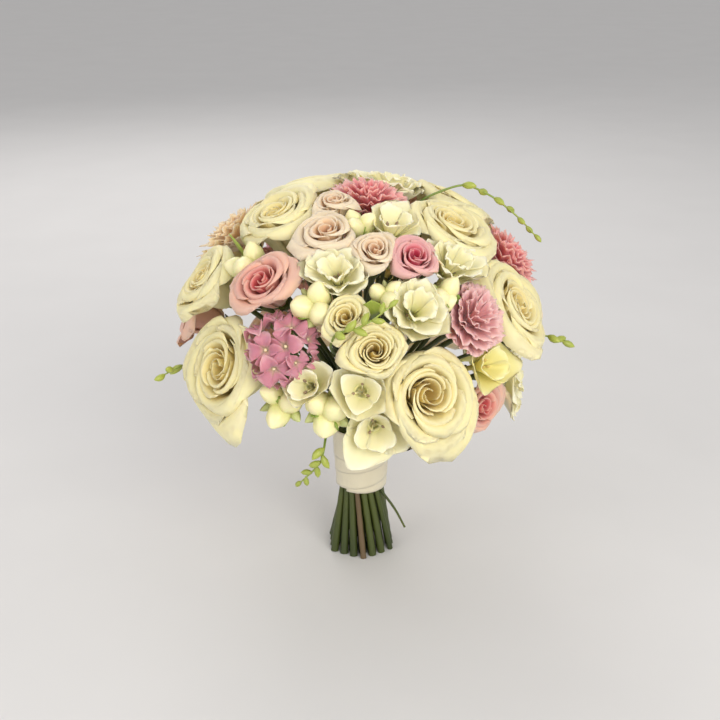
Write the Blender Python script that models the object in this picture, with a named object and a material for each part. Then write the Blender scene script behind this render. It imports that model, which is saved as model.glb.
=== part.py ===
# Bridal bouquet of cream roses, pink roses, freesias, carnations and hydrangea, standing on its cut stems.
# Metres, +Z up, the side seen in the photo faces -Y.
import math

import bmesh
import bpy
import numpy as np
from mathutils import Matrix, Vector

# Sizes of the whole
HEAD_Z = 0.195          # height of the centre of the flower head
FACE_A = 0.130          # half width of the dome the bloom faces lie on
FACE_C = 0.101          # half height of that dome
PIVOT_Z = 0.135         # the point that every bloom faces away from
GAP = 0.0003            # clearance between touching pieces
MARGIN = 0.0003         # half the clearance between neighbouring blooms
BLADE = 0.0008          # thickness of a petal
INSET = BLADE / 2 + 0.0001
LEAF = 0.0009           # thickness of a leaf
FILL = 1.55             # a bloom opens at most this many times its width to meet its neighbours
SPARE = 0.010           # and at most this far past its own edge
TIGHTEST = 0.3          # a bloom is drawn in at most to this share of its width
KEPT = 0.62             # down to this share only the outer petals are drawn in
LOOSE = (1.25, 2.1)     # shares of room to width where an unheld petal starts to sink and hangs fully
DROOP = 0.34            # how far it sinks, as a share of the bloom's height

# Handle
RIBBON_Z0 = 0.054
RIBBON_Z1 = 0.105
RIBBON_R0 = 0.0190
RIBBON_R1 = 0.0222
RIBBON_WALL = 0.0008
RIBBON_LAP = 0.0007     # how far one lap of ribbon stands proud of the next
RIBBON_SIDES = 20
RIBBON_LAPS = 3
RIBBON_TILT = 0.0035    # rise and fall of a lap round the handle
TIE_Z = 0.078           # the stems are tightest here
TIE_R = 0.0113
SPREAD = 11.0           # how fast the stems open out, per metre from the tie
TWIST = 16.0            # how fast they spiral, per metre from the tie

ROSE_STEM = 0.0024
THIN_STEM = 0.0018
FOOT_FLARE = 1.3        # a stem is this much thicker at its cut end
ROSE_UPPER = 0.0019     # the same stems above the tie
THIN_UPPER = 0.0013
GOLDEN = math.radians(137.5)

# Triangles allowed to each node
COUNTS = {"rose": 374, "back_rose": 324, "small_rose": 244, "freesia": 188, "carnation": 306, "hydrangea": 430,
          "buds": 122, "sprig": 114, "leaf": 40}

# Colours
CREAM = (0.86, 0.80, 0.58)
IVORY = (0.87, 0.84, 0.72)
WHITE = (0.88, 0.87, 0.78)
PINK = (0.80, 0.40, 0.47)
DEEP_PINK = (0.72, 0.22, 0.34)
BLUSH = (0.85, 0.68, 0.62)
MAUVE = (0.70, 0.38, 0.52)
BUD = (0.74, 0.76, 0.47)
GREEN = (0.24, 0.38, 0.10)
STEM = (0.08, 0.17, 0.05)
SATIN = (0.83, 0.80, 0.71)

# name, kind, degrees round from the front, degrees down from the top, width in mm, depth in mm, colour
BLOOMS = [
    ("cream_rose_left", "rose", -51, 95, 84, 48, CREAM),
    ("cream_rose_top_left", "rose", -65, 31, 62, 42, CREAM),
    ("cream_rose_front", "rose", 21, 97, 74, 47, CREAM),
    ("cream_rose_middle", "rose", 4, 78, 50, 38, CREAM),
    ("cream_rose_small", "small_rose", -5, 66, 36, 30, CREAM),
    ("cream_rose_top_right", "rose", 60, 35, 64, 42, CREAM),
    ("cream_rose_right", "rose", 64, 74, 72, 46, CREAM),
    ("cream_rose_left_behind", "rose", -74, 66, 56, 40, CREAM),
    ("cream_rose_back_left", "back_rose", -120, 82, 80, 48, CREAM),
    ("cream_rose_back", "back_rose", 168, 77, 84, 48, CREAM),
    ("cream_rose_back_right", "back_rose", 126, 87, 84, 47, CREAM),
    ("cream_rose_back_top", "back_rose", -142, 35, 76, 44, CREAM),
    ("cream_rose_back_crown", "back_rose", 119, 36, 70, 44, CREAM),
    ("pink_rose_left", "small_rose", -38, 57, 46, 34, PINK),
    ("pink_rose_top", "small_rose", 23, 45, 36, 30, DEEP_PINK),
    ("pink_rose_right", "small_rose", 46, 113, 40, 30, PINK),
    ("pink_rose_back_left", "small_rose", -93, 90, 46, 34, PINK),
    ("pink_rose_back", "small_rose", 152, 47, 46, 34, PINK),
    ("pink_rose_back_low", "small_rose", -140, 118, 46, 34, PINK),
    ("blush_rose_top", "small_rose", -19, 33, 40, 30, BLUSH),
    ("blush_rose_middle", "small_rose", 6, 41, 31, 26, BLUSH),
    ("blush_rose_left", "small_rose", -28, 18, 30, 26, BLUSH),
    ("blush_rose_back", "small_rose", 150, 116, 44, 32, BLUSH),
    ("blush_rose_back_left", "small_rose", -171, 114, 42, 32, BLUSH),
    ("blush_rose_right", "small_rose", 95, 85, 42, 32, BLUSH),
    ("carnation_pink", "carnation", 41, 70, 54, 34, MAUVE),
    ("carnation_top", "carnation", 18, 8, 42, 30, DEEP_PINK),
    ("carnation_back_left", "carnation", -104, 52, 56, 34, BLUSH),
    ("carnation_back_right", "carnation", 90, 60, 52, 32, DEEP_PINK),
    ("hydrangea_front", "hydrangea", -27, 79, 54, 34, MAUVE),
    ("hydrangea_back", "hydrangea", -157, 78, 64, 36, MAUVE),
    ("freesia_front_left", "freesia", -17, 93, 34, 32, WHITE),
    ("freesia_front", "freesia", 0, 94, 44, 34, WHITE),
    ("freesia_ruffled", "freesia", 19, 63, 44, 34, WHITE),
    ("freesia_top_right", "freesia", 41, 49, 38, 32, WHITE),
    ("freesia_right", "freesia", 44, 91, 34, 30, IVORY),
    ("freesia_top_left", "freesia", -10, 49, 38, 32, WHITE),
    ("freesia_low", "freesia", 5, 114, 40, 32, WHITE),
    ("freesia_top", "freesia", 22, 27, 34, 30, WHITE),
    ("freesia_crown", "freesia", 128, 13, 46, 32, WHITE),
    ("freesia_left_low", "freesia", -98, 116, 52, 34, IVORY),
    ("freesia_right_low", "freesia", 80, 113, 50, 34, WHITE),
    ("freesia_back_top", "freesia", 178, 47, 42, 32, IVORY),
    ("freesia_back_low", "freesia", 113, 118, 50, 34, WHITE),
    ("buds_left", "buds", -55, 52, 34, 30, BUD),
    ("buds_middle", "buds", -16, 61, 36, 32, BUD),
    ("buds_top", "buds", -1, 26, 30, 28, BUD),
    ("buds_low", "buds", -11, 105, 40, 32, BUD),
    ("buds_centre", "buds", 10, 57, 26, 28, BUD),
    ("buds_right", "buds", 32, 61, 32, 28, BUD),
    ("buds_low_left", "buds", -27, 104, 36, 30, BUD),
    ("sprig_middle", "sprig", -10, 76, 12, 30, GREEN),
    ("sprig_low", "sprig", -13, 119, 10, 22, GREEN),
    ("sprig_top_right", "sprig", 97, 20, 10, 30, GREEN),
    ("sprig_left", "sprig", -77, 106, 10, 26, GREEN),
    ("sprig_right", "sprig", 76, 92, 12, 26, GREEN),
    ("leaf_middle", "leaf", 3, 62, 20, 34, GREEN),
    ("leaf_left", "leaf", -68, 48, 16, 38, GREEN),
]

# Where each green freesia tip goes once it clears the blooms: degrees round, degrees down, mm above the dome
SPRIGS = {
    "sprig_middle": ((-7, 72, 8), (-2, 71, 10), (3, 68, 10), (8, 64, 10)),
    "sprig_low": ((-12, 120, 7), (-13, 124, 13), (-17, 129, 18), (-22, 134, 23)),
    "sprig_top_right": ((99, 32, 10), (98, 43, 12), (95, 53, 13), (92, 60, 14)),
    "sprig_left": ((-75, 105, 8), (-71, 104, 22)),
    "sprig_right": ((76, 93, 8), (77, 95, 18)),
}

# Blooms given a further turn about their own axis, in degrees
EXTRA_TURN = {"cream_rose_left": 20, "pink_rose_back": 20, "cream_rose_back_crown": 20}

# A thin side shoot that strays from the bundle under the ribbon
STRAY = ((0.009, -0.006, 0.064), (0.0148, -0.007, 0.050), (0.026, -0.011, 0.037), (0.034, -0.014, 0.021))


def unit(v):
    """Vector v at length one."""
    return np.asarray(v, float) / np.linalg.norm(v)


def smooth(x, low, high):
    """Eased step from 0 at low to 1 at high."""
    t = np.clip((x - low) / (high - low), 0.0, 1.0)
    return t * t * (3.0 - 2.0 * t)


def face_point(azimuth, polar, lift=0.0):
    """Point on the dome, or lift above it."""
    a, p = math.radians(azimuth), math.radians(polar)
    wide, high = FACE_A + lift, FACE_C + lift
    return np.array((wide * math.sin(p) * math.sin(a), -wide * math.sin(p) * math.cos(a),
                     HEAD_Z + high * math.cos(p)))


PIVOT = np.array((0.0, 0.0, PIVOT_Z))


class Bloom:
    """One bloom: where it sits, which way it faces, and the room its neighbours leave it."""

    def __init__(self, row):
        self.name, self.kind, azimuth, polar, width, depth, self.colour = row
        face = face_point(azimuth, polar) - PIVOT
        reach = np.linalg.norm(face)
        self.axis = face / reach
        self.radius = width / 2000
        self.height = depth / 1000
        self.foot = PIVOT + self.axis * (reach - self.height)
        self.spread = math.atan(self.radius / reach)
        side = unit(np.cross((0, 0, 1), self.axis))
        self.frame = np.column_stack((side, np.cross(self.axis, side), self.axis))
        self.turn = math.radians(37 * azimuth + 11 * polar + EXTRA_TURN.get(self.name, 0))
        self.fill = min(FILL, 1.0 + SPARE / self.radius)
        self.normals = None
        self.limits = None

    def find_room(self, others):
        """Planes through the pivot that part this bloom from each other one."""
        normals, limits = [], []
        for other in others:
            if other is self:
                continue
            n = other.axis / math.cos(other.spread) - self.axis / math.cos(self.spread)
            n = unit(n)
            normals.append(self.frame.T @ n)
            limits.append(-n @ (self.foot - PIVOT) - MARGIN)
        self.normals = np.array(normals)
        self.limits = np.array(limits)

    def room(self, points, inset):
        """How far each point could move out from the axis before it leaves the room."""
        flat = points[:, :2]
        away = np.maximum(np.linalg.norm(flat, axis=1), 1e-9)
        u = flat / away[:, None]
        towards = u @ self.normals[:, :2].T
        left = self.limits[None, :] - inset - points[:, 2:3] * self.normals[None, :, 2]
        reach = np.where(towards > 1e-6, left / np.maximum(towards, 1e-6), 9.0)
        return away, np.maximum(reach.min(axis=1), 0.0005)

    def fit(self, points, inset, droop=0.0):
        """Points drawn in or out from the axis so that the bloom fills its room, the outer ones most.

        Where no neighbour holds the outer ones up they sink, by the share droop of the height."""
        points = np.array(points, float)
        away, reach = self.room(points, inset)
        full = self.radius * np.interp(points[:, 2] / self.height, (0, 0.45, 0.7, 2), (0.45, 0.90, 1.0, 1.0))
        loose = smooth(reach / full, *LOOSE) * smooth(away / full, 0.5, 1.05)
        share = np.clip(reach / full, TIGHTEST, self.fill)
        whole = np.minimum(1.0, share / KEPT)
        rest = share / whole
        points[:, :2] *= (whole * (1 + (rest - 1) * np.minimum(away / full, 1.0)))[:, None]
        points[:, 2] -= droop * self.height * loose
        return points

    def clamp(self, points):
        """Points brought back inside the room where thickness pushed them out."""
        points = np.array(points, float)
        for _ in range(6):
            over = points @ self.normals.T - self.limits[None, :]
            worst = over.argmax(axis=1)
            amount = np.maximum(over.max(axis=1), 0.0)
            points -= self.normals[worst] * amount[:, None]
        points[:, 2] = np.maximum(points[:, 2], GAP)
        return points


def solid_sheet(points, triangles, thickness):
    """A sheet given thickness, the same triangles on both faces and a rim round its edge."""
    points = np.array(points, float)
    normals = np.zeros_like(points)
    for tri in triangles:
        n = np.cross(points[tri[1]] - points[tri[0]], points[tri[2]] - points[tri[0]])
        normals[list(tri)] += n
    normals /= np.maximum(np.linalg.norm(normals, axis=1), 1e-12)[:, None]
    front = points + normals * thickness / 2
    back = points - normals * thickness / 2
    count = len(points)
    faces = [tuple(t) for t in triangles] + [(c + count, b + count, a + count) for a, b, c in triangles]
    edges = {(t[k], t[(k + 1) % 3]) for t in triangles for k in range(3)}
    for a, b in sorted(edges):
        if (b, a) not in edges:
            faces += [(b, a, a + count), (b, a + count, b + count)]
    return np.vstack((front, back)), faces


def lathe(profile, sides, turn=0.0):
    """A closed turned shape from (radius, height) pairs, both ends flat."""
    points, faces = [], []
    for r, z in profile:
        for k in range(sides):
            a = turn + 2 * math.pi * k / sides
            points.append((r * math.cos(a), r * math.sin(a), z))
    for ring in range(len(profile) - 1):
        for k in range(sides):
            a, b = ring * sides + k, ring * sides + (k + 1) % sides
            faces += [(a, b, b + sides), (a, b + sides, a + sides)]
    last = (len(profile) - 1) * sides
    faces += [(0, k + 1, k) for k in range(1, sides - 1)]
    faces += [(last, last + k, last + k + 1) for k in range(1, sides - 1)]
    return np.array(points), faces


def tube(path, radii, sides, turn=0.0):
    """A closed tube along a path."""
    path = [np.asarray(p, float) for p in path]
    points, faces = [], []
    side = None
    for k, p in enumerate(path):
        ahead = unit(path[min(k + 1, len(path) - 1)] - path[max(k - 1, 0)])
        if side is None:
            side = np.cross(ahead, (0.31, 0.87, 0.39))
        side = unit(side - ahead * (side @ ahead))
        up = np.cross(ahead, side)
        for j in range(sides):
            a = turn + 2 * math.pi * j / sides
            points.append(p + radii[k] * (side * math.cos(a) + up * math.sin(a)))
    for ring in range(len(path) - 1):
        for j in range(sides):
            a, b = ring * sides + j, ring * sides + (j + 1) % sides
            faces += [(a, b, b + sides), (a, b + sides, a + sides)]
    last = (len(path) - 1) * sides
    faces += [(0, j + 1, j) for j in range(1, sides - 1)]
    faces += [(last, last + j, last + j + 1) for j in range(1, sides - 1)]
    return np.array(points), faces


def around(angle, radius, height):
    """Point at an angle, radius and height about a bloom's own axis."""
    return np.array((radius * math.cos(angle), radius * math.sin(angle), height))


def core(bloom, shape, sides):
    """The closed foot and heart of a bloom, from (radius, height) shares of its own."""
    points, faces = lathe([(r * bloom.radius, h * bloom.height) for r, h in shape], sides, bloom.turn)
    return bloom.clamp(bloom.fit(points, 0.0)), faces


# Roses: nested cupped petals round a core, each further out than the last and its rim lower
PETAL_T = (0.0, 0.45, 0.85, 1.0)
ROSE_CORE = ((0.17, 0.0), (0.28, 0.14), (0.08, 0.86))


def rose_line(layer, t):
    """Radius and height of a petal's middle line, as shares of the bloom's radius and height."""
    crest = 0.92 + 0.22 * layer - 0.29 * layer ** 2
    radii = (0.07 + 0.08 * layer, 0.16 + 0.42 * layer, 0.13 + 0.79 * layer, 0.12 + 0.97 * layer)
    heights = (0.16 - 0.02 * layer, 0.56 + 0.02 * layer, crest, crest - 0.01 - 0.19 * layer ** 2)
    return np.interp(t, PETAL_T, radii), np.interp(t, PETAL_T, heights)


def rose_petal(bloom, layer, angle, rows):
    """One cupped petal, from its claw in the core to its rim, three strips across."""
    half = math.radians(80 - 20 * layer)
    r, h = rose_line(layer, 0.0)
    points = [around(angle, r * bloom.radius, h * bloom.height)]
    for t in rows:
        for s in (-1, -1 / 3, 1 / 3, 1):
            width = half * (1 - 0.16 * smooth(t, 0.5, 1.0))
            r, h = rose_line(layer, t * (1 - (0.08 + 0.10 * layer) * s * s))
            points.append(around(angle + s * width, r * bloom.radius, h * bloom.height))
    triangles = [(0, k + 1, k) for k in (1, 2, 3)]
    for row in range(len(rows) - 1):
        for k in range(3):
            a = 1 + 4 * row + k
            triangles += [(a, a + 1, a + 5), (a, a + 5, a + 4)]
    points = bloom.fit(points, INSET, DROOP)
    points, faces = solid_sheet(points, triangles, BLADE)
    return bloom.clamp(points), faces


def rose_core(bloom, sides):
    """The heart and foot of a rose that every petal is rooted in."""
    return core(bloom, ROSE_CORE, sides)


def rose(bloom, petals, outer, sides):
    """Core and petals, the outermost few with one more row for the turned rim."""
    pieces = [rose_core(bloom, sides)]
    for k in range(petals):
        layer = ((k + 0.4) / (petals - 0.6)) ** 0.85
        rows = (0.45, 0.85, 1.0) if k >= petals - outer else (0.5, 1.0)
        pieces.append(rose_petal(bloom, layer, bloom.turn + k * GOLDEN, rows))
    return pieces


def blade(bloom, angle, root, belly, tip, half):
    """A pointed petal with a bent middle rib; root, belly and tip are (radius, height) shares."""
    r, h = bloom.radius, bloom.height
    points = [around(angle, root[0] * r, root[1] * h),
              around(angle - half, belly[0] * r, (belly[1] + 0.05) * h),
              around(angle, belly[0] * r * 1.06, (belly[1] - 0.03) * h),
              around(angle + half, belly[0] * r, (belly[1] + 0.05) * h),
              around(angle, tip[0] * r, tip[1] * h)]
    triangles = [(0, 2, 1), (0, 3, 2), (1, 2, 4), (2, 3, 4)]
    points = bloom.fit(points, INSET)
    points, faces = solid_sheet(points, triangles, BLADE)
    return bloom.clamp(points), faces


# Freesias: a funnel, then the root, belly and tip of the outer and inner petals and half their width
FUNNEL = ((0.12, 0.0), (0.27, 0.42), (0.06, 0.62))
OUTER_PETAL = ((0.13, 0.35), (0.90, 0.67), (1.08, 0.93), math.radians(48))
INNER_PETAL = ((0.09, 0.38), (0.66, 0.76), (0.84, 1.01), math.radians(45))


def freesia(bloom):
    """Funnel with two rings of three petals."""
    pieces = [core(bloom, FUNNEL, 5)]
    for k in range(3):
        angle = bloom.turn + k * 2 * math.pi / 3
        pieces.append(blade(bloom, angle, *OUTER_PETAL))
        pieces.append(blade(bloom, angle + math.pi / 3, *INNER_PETAL))
    return pieces


def frill(bloom, angle, root, end, half, wave):
    """A fan-shaped petal with a notched, waved edge."""
    r, h = bloom.radius, bloom.height
    points = [around(angle, root[0] * r, root[1] * h),
              around(angle - half, end[0] * r, (end[1] + wave) * h),
              around(angle, end[0] * r * 0.88, (end[1] - wave) * h),
              around(angle + half, end[0] * r, (end[1] + wave) * h)]
    points = bloom.fit(points, INSET)
    points, faces = solid_sheet(points, [(0, 2, 1), (0, 3, 2)], BLADE)
    return bloom.clamp(points), faces


# Carnations: a domed core, then for each ring its petals, their root and end, half width and wave
CARNATION_CORE = ((0.14, 0.0), (0.46, 0.40), (0.44, 0.66), (0.14, 0.86))
FRILLS = ((6, (0.36, 0.48), (1.0, 0.64), 27, 0.05), (5, (0.34, 0.62), (0.78, 0.88), 31, 0.05),
          (3, (0.16, 0.70), (0.44, 1.02), 44, 0.04))


def carnation(bloom):
    """A domed core with three rings of frilled petals."""
    pieces = [core(bloom, CARNATION_CORE, 6)]
    for ring, (count, root, end, half, wave) in enumerate(FRILLS):
        for k in range(count):
            angle = bloom.turn + 0.4 * ring + 2 * math.pi * k / count
            pieces.append(frill(bloom, angle, root, end, math.radians(half), wave))
    return pieces


def floret(root, centre, outward, size, turn):
    """A four-lobed floret with its stalk, a plate of even thickness on a three-sided stalk."""
    side = unit(np.cross(outward, (0.2, 0.3, 0.93)))
    up = np.cross(outward, side)
    rim = []
    for k in range(8):
        a = turn + k * math.pi / 4
        far = size if k % 2 == 0 else size * 0.45
        rim.append(centre + far * (side * math.cos(a) + up * math.sin(a)) + outward * size * 0.12 * (k % 4 == 0))
    down = outward * BLADE
    points = [centre - down * 0.6] + rim + [p - down for p in rim]
    for base, wide in ((centre - down * 1.6, 0.0011), (root, 0.0008)):
        points += [base + wide * (side * math.cos(turn + b) + up * math.sin(turn + b)) for b in (0, 2.2, 4.0)]
    faces = [(0, 1 + k, 1 + (k + 1) % 8) for k in range(8)]
    for k in range(8):
        a, b = 1 + k, 1 + (k + 1) % 8
        faces += [(b, a, a + 8), (b, a + 8, b + 8)]
    collar = (17, 17, 17, 18, 18, 18, 19, 19)
    for k in range(8):
        b, near, after = (k + 1) % 8, collar[k], collar[(k + 1) % 8]
        faces.append((9 + b, 9 + k, near))
        if after != near:
            faces.append((9 + b, near, after))
    for k in range(3):
        a, b = 17 + k, 17 + (k + 1) % 3
        faces += [(b, a, a + 3), (b, a + 3, b + 3)]
    faces.append((20, 22, 21))
    return points, faces


HYDRANGEA_CORE = ((0.12, 0.0), (0.36, 0.35), (0.40, 0.55), (0.14, 0.74))


def hydrangea(bloom, count=10):
    """Florets spaced over a dome, each on a stalk from the core."""
    pieces = [core(bloom, HYDRANGEA_CORE, 6)]
    middle = np.array((0, 0, 0.42 * bloom.height))
    reach = np.array((0.84 * bloom.radius, 0.84 * bloom.radius, 0.56 * bloom.height))
    for k in range(count):
        lean = math.radians(88) * math.sqrt((k + 0.3) / count)
        a = bloom.turn + k * GOLDEN
        outward = np.array((math.sin(lean) * math.cos(a), math.sin(lean) * math.sin(a), math.cos(lean)))
        centre = bloom.fit([middle + outward * reach], 0.002)[0]
        points, faces = floret(middle + outward * reach * 0.25, centre, outward, 0.42 * bloom.radius, a)
        pieces.append((bloom.clamp(bloom.fit(points, 0.0003)), faces))
    return pieces


def bud(foot, tip, width, sides=6):
    """A fat bud, pointed at both ends."""
    foot, tip = np.asarray(foot, float), np.asarray(tip, float)
    ahead = unit(tip - foot)
    side = unit(np.cross(ahead, (0.31, 0.87, 0.39)))
    up = np.cross(ahead, side)
    points = [foot]
    for t, share in ((0.30, 0.46), (0.72, 0.44)):
        for k in range(sides):
            a = 2 * math.pi * k / sides
            points.append(foot + (tip - foot) * t + share * width * (side * math.cos(a) + up * math.sin(a)))
    points.append(tip)
    last, faces = len(points) - 1, []
    for k in range(sides):
        a, b = 1 + k, 1 + (k + 1) % sides
        faces += [(0, b, a), (a, b, b + sides), (a, b + sides, a + sides), (a + sides, b + sides, last)]
    return np.array(points), faces


def buds(bloom, count=3):
    """Fat freesia buds on one stalk."""
    r, h = bloom.radius, bloom.height
    pieces = [lathe([(0.0018, 0.0), (0.0034, h * 0.46)], 4)]
    for k in range(count):
        a = bloom.turn + 2 * math.pi * k / count
        foot = around(a, 0.0010, h * 0.30)
        tip = around(a, 0.74 * r, h * (1.0 - 0.08 * k))
        points, faces = bud(foot, tip, 0.86 * r)
        pieces.append((bloom.clamp(bloom.fit(points, 0.0)), faces))
    return pieces


def sprig(bloom):
    """A thin green tip with small buds along it, each smaller than the last."""
    ways = [np.array((0.0, 0.0, GAP)), np.array((0.0, 0.0, bloom.height * 0.6))]
    for azimuth, polar, lift in SPRIGS[bloom.name]:
        ways.append(bloom.frame.T @ (face_point(azimuth, polar, lift / 1000) - bloom.foot))
    thick = [0.0013] + [0.0010] * (len(ways) - 2) + [0.0006]
    pieces = [tube(ways, thick, 3)]
    stops = [(k, t) for k in range(2, len(ways) - 1) for t in (0.0, 0.5)] + [(len(ways) - 2, 1.0)]
    for n, (k, t) in enumerate(stops):
        ahead = unit(ways[k + 1] - ways[k])
        at = ways[k] + (ways[k + 1] - ways[k]) * t
        side = unit(np.cross(ahead, bloom.frame.T @ unit(bloom.frame @ at + bloom.foot - PIVOT)))
        lean = ahead + side * (0.8, -0.8)[n % 2] * (t < 1.0)
        long = 0.0105 - 0.0006 * n
        points, faces = bud(at - unit(lean) * 0.0005, at + unit(lean) * long, long * 0.50, 4)
        pieces.append((points, faces))
    return pieces


def leaf(bloom):
    """One pointed leaf standing up between the blooms."""
    r, h = bloom.radius, bloom.height
    points = [(0, 0, GAP), (-0.8 * r, 0.1 * r, 0.62 * h), (0, -0.3 * r, 0.60 * h), (0.8 * r, 0.1 * r, 0.62 * h),
              (0.1 * r, 0.2 * r, 1.05 * h)]
    points, faces = solid_sheet(points, [(0, 2, 1), (0, 3, 2), (1, 2, 4), (2, 3, 4)], LEAF)
    return [(bloom.clamp(points), faces), tube([(0, 0, GAP), (0, 0, 0.3 * h)], (0.0012, 0.0009), 4)]


def make_mesh(name, points, faces):
    """A mesh with its faces outward."""
    mesh = bpy.data.meshes.new(name)
    mesh.from_pydata([tuple(p) for p in points], [], faces)
    work = bmesh.new()
    work.from_mesh(mesh)
    bmesh.ops.recalc_face_normals(work, faces=work.faces)
    work.to_mesh(mesh)
    work.free()
    return mesh


def add_object(name, mesh):
    """A mesh as an object in the scene."""
    obj = bpy.data.objects.new(name, mesh)
    bpy.context.scene.collection.objects.link(obj)
    return obj


def volume(work, faces):
    """Signed volume inside some faces."""
    total = 0.0
    for f in faces:
        a, b, c = (v.co for v in f.verts)
        total += a.dot(b.cross(c)) / 6
    return total


def islands(work):
    """Faces grouped by what joins on to what."""
    left, groups = set(work.faces), []
    while left:
        seed = left.pop()
        group, queue = [seed], [seed]
        while queue:
            for edge in queue.pop().edges:
                for f in edge.link_faces:
                    if f in left:
                        left.remove(f)
                        group.append(f)
                        queue.append(f)
        groups.append(group)
    return groups


def tidied(mesh, near):
    """The mesh with points closer than near joined and flat areas cleared of needless corners, as triangles."""
    work = bmesh.new()
    work.from_mesh(mesh)
    if near:
        bmesh.ops.remove_doubles(work, verts=work.verts, dist=near)
        bmesh.ops.dissolve_degenerate(work, dist=near, edges=work.edges)
        bmesh.ops.dissolve_limit(work, angle_limit=0.003, verts=work.verts, edges=work.edges)
    bmesh.ops.triangulate(work, faces=work.faces)
    return work


def one_body(mesh, name):
    """Only the main body is kept: sealed hollows and loose scraps go. False if it has an open edge."""
    for near in (1e-5, 1e-6, 0.0):
        work = tidied(mesh, near)
        if all(edge.is_manifold for edge in work.edges):
            break
        work.free()
        work = None
    if work is None:
        return False
    groups = islands(work)
    groups.sort(key=lambda g: -abs(volume(work, g)))
    for group in groups[1:]:
        size = volume(work, group) * 1e9
        if size > 5:
            print(f"NOTE {name}: a loose piece of {size:.1f} mm3 was dropped")
        bmesh.ops.delete(work, geom=group, context="FACES")
    loose = [v for v in work.verts if not v.link_faces]
    bmesh.ops.delete(work, geom=loose, context="VERTS")
    work.to_mesh(mesh)
    work.free()
    return True


def united(base, group, solver):
    """The base and a collection's objects as one new mesh."""
    tool = base.modifiers.new("join", "BOOLEAN")
    tool.operation = "UNION"
    tool.operand_type = "COLLECTION"
    tool.collection = group
    tool.solver = solver
    seen = base.evaluated_get(bpy.context.evaluated_depsgraph_get())
    mesh = bpy.data.meshes.new_from_object(seen)
    base.modifiers.clear()
    return mesh


def thinned(mesh, count):
    """The mesh brought down to about so many triangles, the least needed corners first."""
    holder = add_object("holder", mesh)
    tool = holder.modifiers.new("thin", "DECIMATE")
    tool.ratio = min(1.0, count / len(mesh.polygons))
    tool.use_collapse_triangulate = True
    seen = holder.evaluated_get(bpy.context.evaluated_depsgraph_get())
    out = bpy.data.meshes.new_from_object(seen)
    bpy.data.objects.remove(holder)
    return out


def fuse(name, pieces, count=None):
    """One body from overlapping pieces, of about count triangles if that is given."""
    base = add_object(name, make_mesh(name, *pieces[0]))
    group = bpy.data.collections.new(name + "_pieces")
    bpy.context.scene.collection.children.link(group)
    for k, (points, faces) in enumerate(pieces[1:]):
        group.objects.link(bpy.data.objects.new(f"{name}_{k}", make_mesh(name, points, faces)))
    mesh = united(base, group, "MANIFOLD")
    good = one_body(mesh, name)
    if good and count:
        thin = thinned(mesh, count)
        if one_body(thin, name):
            mesh = thin
    base.data = mesh
    for obj in list(group.objects):
        bpy.data.objects.remove(obj)
    bpy.data.collections.remove(group)
    mesh.name = name
    if not good:
        bpy.data.objects.remove(base)
        return None
    return base


def paint(obj, colour, rough):
    """A plain material named after the object."""
    mat = bpy.data.materials.new(obj.name)
    mat.use_nodes = True
    shader = mat.node_tree.nodes["Principled BSDF"]
    shader.inputs["Base Color"].default_value = (*colour, 1)
    shader.inputs["Roughness"].default_value = rough
    shader.inputs["Metallic"].default_value = 0.0
    obj.data.materials.clear()
    obj.data.materials.append(mat)


def place(obj, bloom):
    """A bloom set on its stem, facing out."""
    turn = Matrix([[float(x) for x in row] for row in bloom.frame]).to_4x4()
    obj.matrix_world = Matrix.Translation(Vector([float(x) for x in bloom.foot])) @ turn


MAKERS = {
    "rose": lambda b: rose(b, 7, 3, 5),
    "back_rose": lambda b: rose(b, 6, 2, 5),
    "small_rose": lambda b: rose(b, 5, 1, 5),
    "freesia": freesia,
    "carnation": carnation,
    "hydrangea": hydrangea,
    "buds": buds,
    "sprig": sprig,
    "leaf": leaf,
}


def build_blooms(blooms):
    """Every bloom as an object of its own."""
    made = []
    for bloom in blooms:
        obj = None
        while obj is None:
            obj = fuse(bloom.name, MAKERS[bloom.kind](bloom), COUNTS[bloom.kind])
            bloom.turn += 0.3
        place(obj, bloom)
        paint(obj, bloom.colour, 0.6)
        made.append(obj)
    return made


def handle_point(w, z):
    """Where a stem that passes the tie at the complex number w is at height z."""
    d = TIE_Z - z
    p = w * complex(1 + SPREAD * abs(d), TWIST * d)
    return np.array((p.real, p.imag, z))


def lower_stem(w, radius, turn):
    """A straight stem from the table up into the tie, cut level at its foot."""
    points, faces = [], []
    for z, wide in ((0.0, radius * FOOT_FLARE), (TIE_Z, radius * 0.92)):
        p = handle_point(w, z)
        for k in range(5):
            a = turn + k * 2 * math.pi / 5
            points.append((p[0] + wide * math.cos(a), p[1] + wide * math.sin(a), z))
    for k in range(5):
        b = (k + 1) % 5
        faces += [(k, b, b + 5), (k, b + 5, k + 5)]
    faces += [(0, k + 1, k) for k in range(1, 4)]
    faces += [(5, 5 + k, 6 + k) for k in range(1, 4)]
    return np.array(points), faces


def bezier(p, q, r, s, count):
    """Points along a smooth curve."""
    out = []
    for k in range(count + 1):
        t = k / count
        out.append(p * (1 - t) ** 3 + 3 * q * t * (1 - t) ** 2 + 3 * r * t * t * (1 - t) + s * t ** 3)
    return out


def upper_stem(w, foot, axis, radius, calyx):
    """A stem from the tie that swings out to a bloom's foot and ends in its calyx."""
    start = handle_point(w, RIBBON_Z1 + 0.007)
    lean = w * complex(SPREAD, -TWIST)
    out = unit((lean.real, lean.imag, 1.0))
    end = foot - axis * 0.008
    path = [handle_point(w, RIBBON_Z1 - 0.012)]
    path += bezier(start, start + out * 0.026, end - axis * 0.030, end, 2)
    path.append(foot - axis * 0.0003)
    radii = [radius] + [radius * 0.85] * (len(path) - 2) + [calyx]
    return tube(path, radii, 3)


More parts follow.
